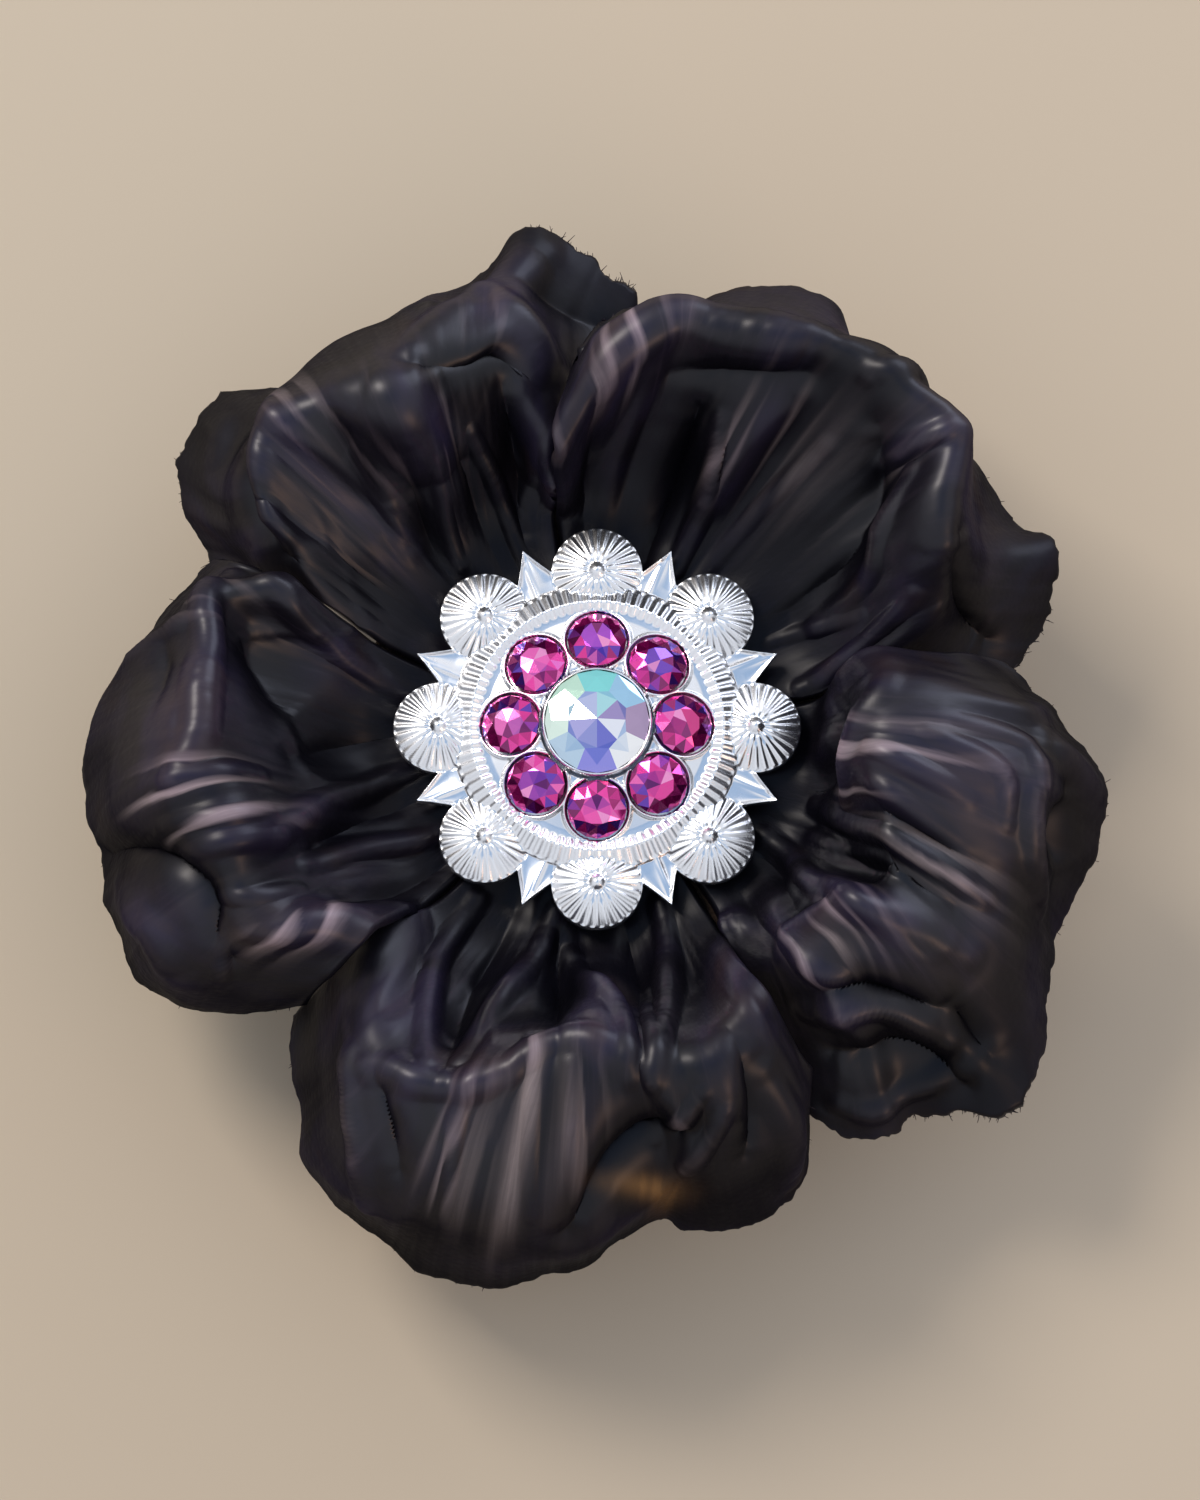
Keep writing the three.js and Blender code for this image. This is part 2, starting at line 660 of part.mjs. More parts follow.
const pinHole = solid(hingeRod(PIN_RADIUS + PIN_PLAY, -10, 10));
const armEar = ARM_WIDTH / 2;
const arm = solid(armStrip())
  .add(ear(armEar - SHEET, armEar, SHEET / 2))
  .add(ear(-armEar, SHEET - armEar, SHEET / 2))
  .subtract(pinHole);
add("clip_fixed_arm", geometryOf(arm), nickelSteel);

// The moving jaw: a bent strip, two ears inside the arm's ears, and two toothed edges.
const jawHalf = armEar - SHEET - JAW_SIDE_PLAY;
const floorZ = HINGE_Z - EAR_RADIUS - 0.25;
// Its side line, [x, z], from the thumb lever past the bend and under the hinge to the nose.
const jawLine = [
  [HINGE_X - LEVER_LENGTH + 0.4, HINGE_Z - LEVER_DROP + 0.1],
  [HINGE_X - 3.6, floorZ - 0.45],
  [HINGE_X - 1.5, floorZ],
  [HINGE_X + 5, floorZ],
  [HINGE_X + 16, floorZ + 0.9],
  [HINGE_X + 28, floorZ + 2.6],
  [ARM_TIP - 1, -BITE - JAW_SHEET / 2],
];

// The strip's side outline: half the sheet to each side of the line, with mitred bends.
function stripOutline(line) {
  const points = line.map(([x, z]) => new THREE.Vector2(x, z));
  const last = points.length - 1;
  const origin = new THREE.Vector2();
  const across = (from, to) => to.clone().sub(from).normalize().rotateAround(origin, PI / 2);
  const side = (sign) =>
    points.map((point, i) => {
      const before = across(points[Math.max(0, i - 1)], points[Math.max(1, i)]);
      const after = across(points[Math.min(i, last - 1)], points[Math.min(i + 1, last)]);
      const mitre = before.clone().add(after).divideScalar(1 + before.dot(after));
      return point.clone().addScaledVector(mitre, (sign * JAW_SHEET) / 2).toArray();
    });
  return [...side(-1), ...side(1).reverse()];
}

// Height of the jaw's line at x.
function lineHeight(x) {
  const i = jawLine.findIndex(([end]) => end >= x);
  const [x0, z0] = jawLine[i - 1];
  const [x1, z1] = jawLine[i];
  return z0 + ((z1 - z0) * (x - x0)) / (x1 - x0);
}

// A row of saw teeth that stands on the strip's edge and bites on the grip face.
function teethOutline() {
  const end = ARM_TIP - 1.6;
  const start = end - TEETH * TOOTH_PITCH;
  const top = [];
  for (let i = 0; i < TEETH; i++) {
    const x = start + i * TOOTH_PITCH;
    top.push([x, Math.max(-BITE - 0.75, lineHeight(x) + 0.3)], [x + 0.75 * TOOTH_PITCH, -BITE]);
  }
  top.push([end, -BITE - 0.4]);
  return [[start, lineHeight(start)], [end, lineHeight(end)], ...top.reverse()];
}

const jawStrip = jawLine.slice(1);
const jaw = union([
  solid(sidePlate(stripOutline(jawStrip), -jawHalf, jawHalf)),
  solid(sidePlate(stripOutline(jawLine.slice(0, 2)), -LEVER_WIDTH / 2, LEVER_WIDTH / 2)),
  solid(sidePlate(teethOutline(), jawHalf - JAW_SHEET, jawHalf)),
  solid(sidePlate(teethOutline(), -jawHalf, JAW_SHEET - jawHalf)),
  ear(jawHalf - JAW_SHEET, jawHalf, floorZ),
  ear(-jawHalf, JAW_SHEET - jawHalf, floorZ),
]).subtract(pinHole);
add("clip_moving_jaw", geometryOf(jaw), nickelSteel);

// The pin: a rivet with a head outside each of the arm's ears.
const rivetEnd = armEar + GLUE;
const pin = union([
  solid(hingeRod(PIN_RADIUS, -rivetEnd - RIVET_HEAD, rivetEnd + RIVET_HEAD)),
  solid(hingeRod(RIVET_RADIUS, rivetEnd, rivetEnd + RIVET_HEAD)),
  solid(hingeRod(RIVET_RADIUS, -rivetEnd - RIVET_HEAD, -rivetEnd)),
]);
add("clip_hinge_pin", geometryOf(pin), nickelSteel);

// The torsion spring: a coil round the pin, one leg under the arm and one along the lever.
class SpringPath extends THREE.Curve {
  constructor() {
    super();
    this.coilRadius = PIN_RADIUS + SLACK + WIRE / 2;
    this.halfWidth = jawHalf - JAW_SHEET - SLACK / 2 - WIRE / 2;
    this.coilLength = 2 * PI * SPRING_TURNS * this.coilRadius;
    const leverEnd = jawLine[0];
    const leverStart = jawLine[1];
    this.leverSlope = (leverEnd[1] - leverStart[1]) / (leverEnd[0] - leverStart[0]);
    this.total = this.coilLength + 2 * SPRING_LEG;
  }

  getPoint(share) {
    const run = share * this.total;
    if (run < SPRING_LEG) {
      const back = SPRING_LEG - run;
      const coilTop = HINGE_Z + this.coilRadius;
      const rise = ((-GLUE - WIRE / 2 - coilTop) * back) / SPRING_LEG;
      return new THREE.Vector3(HINGE_X - back, this.halfWidth, coilTop + rise);
    }
    if (run > SPRING_LEG + this.coilLength) {
      const back = run - SPRING_LEG - this.coilLength;
      const drop = Math.max(0, back - SPRING_LEVEL) * this.leverSlope;
      return new THREE.Vector3(HINGE_X - back, -this.halfWidth, HINGE_Z - this.coilRadius - drop);
    }
    const turn = (run - SPRING_LEG) / this.coilRadius;
    const across = this.halfWidth * (1 - (2 * (run - SPRING_LEG)) / this.coilLength);
    return new THREE.Vector3(
      HINGE_X + this.coilRadius * sin(turn),
      across,
      HINGE_Z + this.coilRadius * cos(turn),
    );
  }
}

const wireSection = new THREE.Shape(
  corners(6, WIRE / 2, 0).map((corner) => new THREE.Vector2(corner.x, corner.y)),
);
const spring = new THREE.ExtrudeGeometry(wireSection, {
  steps: 64,
  bevelEnabled: false,
  extrudePath: new SpringPath(),
});
add("clip_spring", spring, springSteel);

export default flower;
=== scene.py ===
# %% [markdown]
# # A leather flower hair clip
#
# Five petals of wet-formed black leather are gathered under a round silver concho. The concho is set
# with eight small crystals round a large one, and a screw from behind holds everything together.
# Behind it sit a leather disc, a felt disc and a toothed spring clip.
#
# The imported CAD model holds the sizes, the places and the hinge. This script keeps that frame as it is
# and makes the surfaces that the eye sees: folds in the leather, beads on the silver, facets, felt.

# %% Load the frame
import math

import bpy
import numpy as np
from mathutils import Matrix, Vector


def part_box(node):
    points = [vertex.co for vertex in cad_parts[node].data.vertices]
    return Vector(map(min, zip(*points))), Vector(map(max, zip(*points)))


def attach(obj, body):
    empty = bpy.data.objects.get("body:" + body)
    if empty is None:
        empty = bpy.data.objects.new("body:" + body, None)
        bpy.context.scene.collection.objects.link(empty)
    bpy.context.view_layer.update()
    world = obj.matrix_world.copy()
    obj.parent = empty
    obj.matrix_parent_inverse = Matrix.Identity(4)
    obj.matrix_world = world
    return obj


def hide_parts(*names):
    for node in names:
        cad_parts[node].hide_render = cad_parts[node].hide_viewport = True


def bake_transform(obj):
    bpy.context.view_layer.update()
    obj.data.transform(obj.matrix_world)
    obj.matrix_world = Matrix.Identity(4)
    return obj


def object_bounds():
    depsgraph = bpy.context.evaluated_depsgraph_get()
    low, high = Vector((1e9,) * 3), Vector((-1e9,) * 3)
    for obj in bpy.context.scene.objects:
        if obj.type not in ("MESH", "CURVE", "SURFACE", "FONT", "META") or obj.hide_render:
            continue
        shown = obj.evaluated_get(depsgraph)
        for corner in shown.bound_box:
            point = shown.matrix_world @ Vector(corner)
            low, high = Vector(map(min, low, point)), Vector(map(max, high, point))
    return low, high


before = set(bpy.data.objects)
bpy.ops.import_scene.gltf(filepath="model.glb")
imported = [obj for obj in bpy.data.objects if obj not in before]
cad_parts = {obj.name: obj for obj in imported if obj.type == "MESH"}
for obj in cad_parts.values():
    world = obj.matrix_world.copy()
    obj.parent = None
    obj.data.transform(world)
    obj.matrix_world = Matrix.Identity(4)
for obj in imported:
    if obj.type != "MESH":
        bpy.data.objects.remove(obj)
cad_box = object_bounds()
MM = 0.001  # Blender works in metres here, and a maker of small things in millimetres
print("CAD box in mm:", [[round(x / MM, 1) for x in corner] for corner in cad_box])

# %% [markdown]
# ## Camera
#
# The clip lies on its back and is looked at from almost straight above. A long lens from 600 mm away
# keeps the round concho round. In Blender a camera looks along its own -Z, so one turn about X is
# enough to aim it: a turn of zero would look straight down.

# %% Camera
CAMERA_HEIGHT = 79  # degrees above the horizon
CAMERA_DISTANCE = 600 * MM
FRAME_HEIGHT = 116.7 * MM  # how much of the object's plane the upright picture takes in
SENSOR = 36  # mm, Blender's usual sensor
AIM = Vector((0, 0, 8 * MM))  # the middle of the flower's depth
FRAME_SHIFT = (0.002, -0.016)  # how far the picture slides over the view, as a share of its height
NEAREST = 10 * MM  # nothing closer to the camera than this is drawn

camera = bpy.data.objects.new("camera", bpy.data.cameras.new("camera"))
bpy.context.scene.collection.objects.link(camera)
tilt = math.radians(90 - CAMERA_HEIGHT)
camera.rotation_euler = (tilt, 0, 0)
camera.location = AIM + CAMERA_DISTANCE * Vector((0, -math.sin(tilt), math.cos(tilt)))
camera.data.lens = SENSOR * CAMERA_DISTANCE / FRAME_HEIGHT
camera.data.shift_x, camera.data.shift_y = FRAME_SHIFT
camera.data.clip_start = NEAREST
bpy.context.scene.camera = camera
print("lens in mm:", round(camera.data.lens))

# %% [markdown]
# ## Colours and nodes
#
# Painters and web pages give colours as sRGB hex values. Blender's shaders count in linear light, so
# one function turns the one into the other. A second one adds a shader node, sets its values and
# connects it, which keeps every material below short enough to read. The last two start a material and
# join a node to its shader.


# %% Helpers for materials
def colour(hex_value):
    """An sRGB hex value such as "#17141a" as linear red, green, blue and alpha."""
    channels = [int(hex_value[i : i + 2], 16) / 255 for i in (1, 3, 5)]
    return [c / 12.92 if c <= 0.04045 else ((c + 0.055) / 1.055) ** 2.4 for c in channels] + [1]


def add_node(material, kind, inputs=None, stops=None, **settings):
    """Adds a node. inputs are values or other nodes' outputs, and stops are a colour ramp's."""
    tree = material.node_tree
    made = tree.nodes.new(kind)
    for name, value in settings.items():
        setattr(made, name, value)
    for name, value in (inputs or {}).items():
        if isinstance(value, bpy.types.NodeSocket):
            tree.links.new(value, made.inputs[name])
        else:
            made.inputs[name].default_value = value
    if stops:
        ramp = made.color_ramp
        while len(ramp.elements) < len(stops):
            ramp.elements.new(0.5)
        for element, (place, shade) in zip(ramp.elements, stops):
            element.position = place
            element.color = shade
    return made


def principled(name, **values):
    """A new material and its Principled shader, with plain values set on the shader's own sockets."""
    material = bpy.data.materials.new(name)
    material.use_nodes = True
    shader = material.node_tree.nodes["Principled BSDF"]
    for socket, value in values.items():
        shader.inputs[socket.replace("_", " ")].default_value = value
    return material, shader


def connect(material, output, socket):
    """Links a node's output to a socket of the shader."""
    material.node_tree.links.new(output, socket)


print("black leather in linear light:", [round(c, 4) for c in colour("#17141a")])

# %% [markdown]
# ## Studio
#
# The floor is plain and pale. It touches the lowest point of the clip, which is the thumb lever.
# Black leather and silver are seen mostly by what they reflect. So the surround is a plain soft
# gradient. Straight overhead it is a clear light blue, which the flat places of the silver show. Round
# that it is white, for the domes and the beads. Near the floor it is as dull as the far end of the
# floor, so that the two meet almost without a line.
#
# Three soft panels add the highlights. The main one stands on the upper left. A wide, cool one on the
# upper right lights the far side of each fold and of the silver. A small warm one on the lower right
# gives the black a little life.

# %% Floor, surround and lights
FLOOR_HALF = 3.0  # metres
SURROUND_STRENGTH = 0.85
floor_z = cad_box[0].z

floor_mesh = bpy.data.meshes.new("floor")
corner_signs = [(-1, -1), (1, -1), (1, 1), (-1, 1)]
floor_points = [(FLOOR_HALF * x, FLOOR_HALF * y, floor_z) for x, y in corner_signs]
floor_mesh.from_pydata(floor_points, [], [(0, 1, 2, 3)])
floor = bpy.data.objects.new("floor", floor_mesh)
bpy.context.scene.collection.objects.link(floor)
paper, paper_shader = principled("studio_paper", Roughness=0.9)
paper_shader.inputs["Base Color"].default_value = colour("#bcad98")
floor_mesh.materials.append(paper)

world = bpy.data.worlds.new("studio")
bpy.context.scene.world = world
world.use_nodes = True
background = world.node_tree.nodes["Background"]
world_place = add_node(world, "ShaderNodeTexCoord")
world_parts = add_node(world, "ShaderNodeSeparateXYZ", {"Vector": world_place.outputs["Generated"]})
world_shade = add_node(
    world,
    "ShaderNodeValToRGB",
    {"Fac": world_parts.outputs["Z"]},
    stops=[
        (0.0, colour("#a69d9a")),
        (0.14, colour("#94949b")),
        (0.34, colour("#dfe3ec")),
        (0.86, colour("#f4f8ff")),
        (0.95, colour("#a5c2e6")),
        (1.0, colour("#98b8e0")),
    ],
)
world.node_tree.links.new(world_shade.outputs["Color"], background.inputs["Color"])
background.inputs["Strength"].default_value = SURROUND_STRENGTH


def soft_panel(name, place, size, power, shade):
    """A square lamp that faces the flower. place is in mm, size in metres."""
    lamp = bpy.data.lights.new(name, "AREA")
    lamp.shape = "SQUARE"
    lamp.size = size
    lamp.energy = power
    lamp.color = colour(shade)[:3]
    lit = bpy.data.objects.new(name, lamp)
    bpy.context.scene.collection.objects.link(lit)
    lit.location = Vector(place) * MM
    lit.rotation_euler = (lit.location - AIM).to_track_quat("Z", "Y").to_euler()
    return lit


soft_panel("upper_left_panel", (-360, 330, 560), 0.26, 3.2, "#fff6ec")
soft_panel("upper_right_panel", (430, 520, 260), 0.45, 1.8, "#e4ecff")
soft_panel("warm_panel", (420, -420, 260), 0.20, 0.5, "#ffc9a0")
bpy.context.scene.view_settings.view_transform = "Standard"

# %% [markdown]
# ## Making meshes from grids
#
# Almost every piece here is a grid of points: rows run one way, columns the other. Working the points
# out with numpy and giving the finished grid to Blender is quick, and each formula stays readable.
# The same few functions, for the faces, the object and its values, then serve every piece.


# %% Grid helpers
def grid_faces(rows, columns, first=0, closed=False):
    """Four-sided faces over a grid whose points are numbered row by row, wrapped if it is closed."""
    row = np.arange(rows - 1)[:, None]
    column = np.arange(columns if closed else columns - 1)[None, :]
    following = (column + 1) % columns
    quads = [row * columns + column, row * columns + following]
    quads += [(row + 1) * columns + following, (row + 1) * columns + column]
    return first + np.stack(np.broadcast_arrays(*quads), -1).reshape(-1, 4)


def ring_faces(rows, columns):
    """Faces of a closed body of rings. Its last two points are the middles of its two end caps."""
    ring = np.arange(columns)
    last = (rows - 1) * columns
    total = rows * columns
    return [
        grid_faces(rows, columns, closed=True),
        np.stack([np.full(columns, total), np.roll(ring, -1), ring], -1),
        np.stack([np.full(columns, total + 1), last + ring, last + np.roll(ring, -1)], -1),
    ]


def make_piece(name, points, faces, material, smooth=True):
    """A mesh object from points in mm. faces is a list of arrays, one for each number of corners."""
    mesh = bpy.data.meshes.new(name)
    listed = [face for group in faces for face in np.asarray(group).tolist()]
    mesh.from_pydata((np.asarray(points) * MM).tolist(), [], listed)
    mesh.polygons.foreach_set("use_smooth", [smooth] * len(mesh.polygons))
    mesh.materials.append(material)
    piece = bpy.data.objects.new(name, mesh)
    bpy.context.scene.collection.objects.link(piece)
    return piece


def add_values(piece, name, values):
    """Stores one number or one vector for each point, which a material reads by its name."""
    values = np.asarray(values, np.float32)
    kind, field = ("FLOAT", "value") if values.ndim == 1 else ("FLOAT_VECTOR", "vector")
    made = piece.data.attributes.new(name, kind, "POINT")
    made.data.foreach_set(field, values.ravel())


def unit(vectors):
    """The same directions with a length of 1."""
    return vectors / np.maximum(np.linalg.norm(vectors, axis=-1, keepdims=True), 1e-9)


def grid_normals(points):
    """The direction square to a grid's surface at each of its points."""
    return unit(np.cross(np.gradient(points, axis=0), np.gradient(points, axis=1)))


def polar(bearing, reach, height):
    """A point from its bearing in degrees, its distance from the middle and its height."""
    angle = math.radians(bearing)
    return np.array([reach * math.cos(angle), reach * math.sin(angle), height])


def rise(values, start, width):
    """0 up to a start, then climbing to 1 over a width."""
    return np.clip((values - start) / width, 0, 1)


def fall(values, end, width):
    """1 until a width before an end, then down to 0 at the end."""
    return np.clip((end - values) / width, 0, 1)


print("a 3 x 3 grid has", len(grid_faces(3, 3)), "faces")

# %% [markdown]
# ## Black leather
#
# The petals are vegetable-tanned leather, about 1.1 mm thick. It was dyed black, wetted, pinched into
# shape by hand and left to dry, then rubbed with wax. Three things make it look like leather and not
# like plastic. The dye is uneven, from violet-black to brown. Where the leather was pulled over a bulge
# it is drawn into fine lines that run from root to rim, and the lightest of them are worn pale. Those
# pale streaks are partly wear and partly painted highlights. The waxed grain gives a soft shine that
# the fine lines break up. The colour is also painted lighter on high places, partly as wear, and darker
# in creases and near the root: painted light and shade.
#
# The wax is rubbed on with a cloth that only reaches the open faces. The flanks stay matt, and a value
# for each point, from how far it faces up, says where the wax is. In one deep fold of the lower petal
# the dye never took, and the leather's own tan shows.
#
# Each petal carries its own flat coordinates, in mm across and along, so that the lines follow every
# fold. Real grain is a fifth of a millimetre wide, too fine to show from here, so the pull lines are
# drawn about 0.8 mm wide and the grain about 0.55 mm.

# %% Material: dyed leather, its colour
IOR_WAX = 1.45
PULL_WIDTH = 0.8  # mm
PULL_LENGTH = 14  # mm
DYE_PATCHES = 0.09  # to a mm, so that each patch is about 11 mm wide

waxed_leather, leather_shader = principled(
    "vegetable_tanned_leather_dyed_and_waxed",
    IOR=IOR_WAX,
    Specular_IOR_Level=0.12,
    Coat_Roughness=0.36,
)
leather_shader.inputs["Specular Tint"].default_value = colour("#bdb8f0")  # the dye's violet sheen
flat_place = add_node(waxed_leather, "ShaderNodeAttribute", attribute_name="flat")
stretch_and_highlight_share = add_node(waxed_leather, "ShaderNodeAttribute", attribute_name="stretch_and_painted_highlight")
relief = add_node(waxed_leather, "ShaderNodeAttribute", attribute_name="relief")
pull_place = add_node(
    waxed_leather,
    "ShaderNodeVectorMath",
    {0: flat_place.outputs["Vector"], 1: (1 / PULL_WIDTH, 1 / PULL_LENGTH, 1)},
    operation="MULTIPLY",
)
pull_lines = add_node(
    waxed_leather,
    "ShaderNodeTexNoise",
    {"Vector": pull_place.outputs["Vector"], "Scale": 1.0, "Detail": 5.0, "Roughness": 0.65},
)
dye_patches = add_node(
    waxed_leather,
    "ShaderNodeTexNoise",
    {"Vector": flat_place.outputs["Vector"], "Scale": DYE_PATCHES, "Detail": 3.0, "Distortion": 0.6},
)
dye = add_node(
    waxed_leather,
    "ShaderNodeValToRGB",
    {"Fac": dye_patches.outputs["Fac"]},
    stops=[
        (0.3, colour("#060506")),
        (0.45, colour("#0c0a0e")),
        (0.56, colour("#120f19")),
        (0.7, colour("#1b1416")),
    ],
)
pull_tint = add_node(
    waxed_leather,
    "ShaderNodeValToRGB",
    {"Fac": pull_lines.outputs["Fac"]},
    stops=[(0.55, [0, 0, 0, 1]), (0.8, [0.1, 0.1, 0.1, 1])],
)
lined = add_node(
    waxed_leather,
    "ShaderNodeMix",
    {0: pull_tint.outputs["Color"], 6: dye.outputs["Color"], 7: colour("#4a4048")},
    data_type="RGBA",
)
pale_share = add_node(
    waxed_leather,
    "ShaderNodeMath",
    {0: stretch_and_highlight_share.outputs["Fac"], 1: pull_lines.outputs["Fac"]},
    operation="MULTIPLY",
)
# the pale streaks: partly worn pull lines, partly painted highlights
pale = add_node(
    waxed_leather,
    "ShaderNodeMix",
    {0: pale_share.outputs["Value"], 6: lined.outputs[2], 7: colour("#b3a2a0")},
    data_type="RGBA",
)
# painted shade in low creases and at the root, painted light on high places, partly rubbed wear
wear_and_painted_light = add_node(
    waxed_leather,
    "ShaderNodeValToRGB",
    {"Fac": relief.outputs["Fac"]},
    stops=[(0.25, [0.2, 0.2, 0.2, 1]), (0.5, [1, 1, 1, 1]), (0.9, [2.6, 2.5, 2.8, 1])],
)
dyed_colour_with_painted_light = add_node(
    waxed_leather,
    "ShaderNodeMix",
    {0: 1.0, 6: pale.outputs[2], 7: wear_and_painted_light.outputs["Color"]},
    data_type="RGBA",
    blend_type="MULTIPLY",
)
bare = add_node(waxed_leather, "ShaderNodeAttribute", attribute_name="bare")
leather_colour = add_node(
    waxed_leather,
    "ShaderNodeMix",
    {0: bare.outputs["Fac"], 6: dyed_colour_with_painted_light.outputs[2], 7: colour("#7d5c36")},
    data_type="RGBA",
)
connect(waxed_leather, leather_colour.outputs[2], leather_shader.inputs["Base Color"])
print("leather's colour:", len(waxed_leather.node_tree.nodes), "nodes so far")

# %% [markdown]
# Dyed leather by itself is nearly matt, so the shader's own highlight is weak, and violet like the dye.
# The shine is the wax: a thin clear coat over it, thick on the open faces and gone on the flanks. Both
# the roughness and the coat's weight follow the same value.

# %% Material: the wax on the leather
leather_gloss = add_node(
    waxed_leather,
    "ShaderNodeMapRange",
    {"Value": pull_lines.outputs["Fac"], "From Min": 0.3, "From Max": 0.7, "To Min": 0.36, "To Max": 0.52},
)
waxed = add_node(waxed_leather, "ShaderNodeAttribute", attribute_name="waxed")
matt_part = add_node(
    waxed_leather,
    "ShaderNodeMapRange",
    {"Value": waxed.outputs["Fac"], "To Min": 0.3, "To Max": 0.0},
)
leather_blur = add_node(
    waxed_leather,
    "ShaderNodeMath",
    {0: leather_gloss.outputs["Result"], 1: matt_part.outputs["Result"]},
    operation="ADD",
)
wax_film = add_node(
    waxed_leather,
    "ShaderNodeMapRange",
    {"Value": waxed.outputs["Fac"], "To Min": 0.0, "To Max": 0.75},
)
connect(waxed_leather, leather_blur.outputs["Value"], leather_shader.inputs["Roughness"])
connect(waxed_leather, wax_film.outputs["Result"], leather_shader.inputs["Coat Weight"])
print("wax:", len(waxed_leather.node_tree.nodes), "nodes so far")

# %% [markdown]
# Two bumps lie on each other: the grain, which is small rounded cells, and the drawn-out lines. The
# folds themselves are real shape and come later.

# %% Material: the grain and the pull lines as relief
GRAIN = 0.55  # mm
GRAIN_DEPTH = 0.07  # mm
PULL_DEPTH = 0.1  # mm

grain_cells = add_node(
    waxed_leather,
    "ShaderNodeTexVoronoi",
    {"Vector": flat_place.outputs["Vector"], "Scale": 1 / GRAIN},
    feature="SMOOTH_F1",
)
grain_bump = add_node(
    waxed_leather,
    "ShaderNodeBump",
    {"Height": grain_cells.outputs["Distance"], "Strength": 0.7, "Distance": GRAIN_DEPTH * MM},
)
pull_bump = add_node(
    waxed_leather,
    "ShaderNodeBump",
    {
        "Height": pull_lines.outputs["Fac"],
        "Normal": grain_bump.outputs["Normal"],
        "Strength": 0.2,
        "Distance": PULL_DEPTH * MM,
    },
)
connect(waxed_leather, pull_bump.outputs["Normal"], leather_shader.inputs["Normal"])
print("material:", waxed_leather.name)

# %% [markdown]
# ## The shape of a petal
#
# A petal is drawn by ribs, the same ones as in the CAD model. Each rib runs from the root under the
# concho up to the crest, where the leather rolls over, and down to the rim. A smooth curve through the
# ribs' points one way, and then the other way, gives the surface. The CAD petals stop there. Here the
# grid is fine enough for every crease that fingers left in the wet leather.

# %% Ribs of the five petals, in mm and degrees
LEATHER = 1.1  # thickness
HUB_RADIUS = 6  # the petals end here, round the screw
CONCHO_RADIUS = 15.9
PLEATS = 3  # across each root
PLEAT_HEIGHT = 0.3
PLEAT_FADE = 0.6  # the pleats are gone at this share of the way to the rim
PRESSED = 0.2  # room for the root between the disc and the concho
VALLEY_OUT = 0.4  # the valley lies this far outside the concho
VALLEY_UP = 0.15
INNER_CLIMB = 0.42  # how much of the climb to the crest is done halfway
BULGE_OUT = 0.75
BULGE_UP = 0.66
disc_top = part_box("leather_base_disc")[1].z / MM
ROOT_HEIGHT = disc_top + LEATHER / 2 + PLEAT_HEIGHT + PRESSED

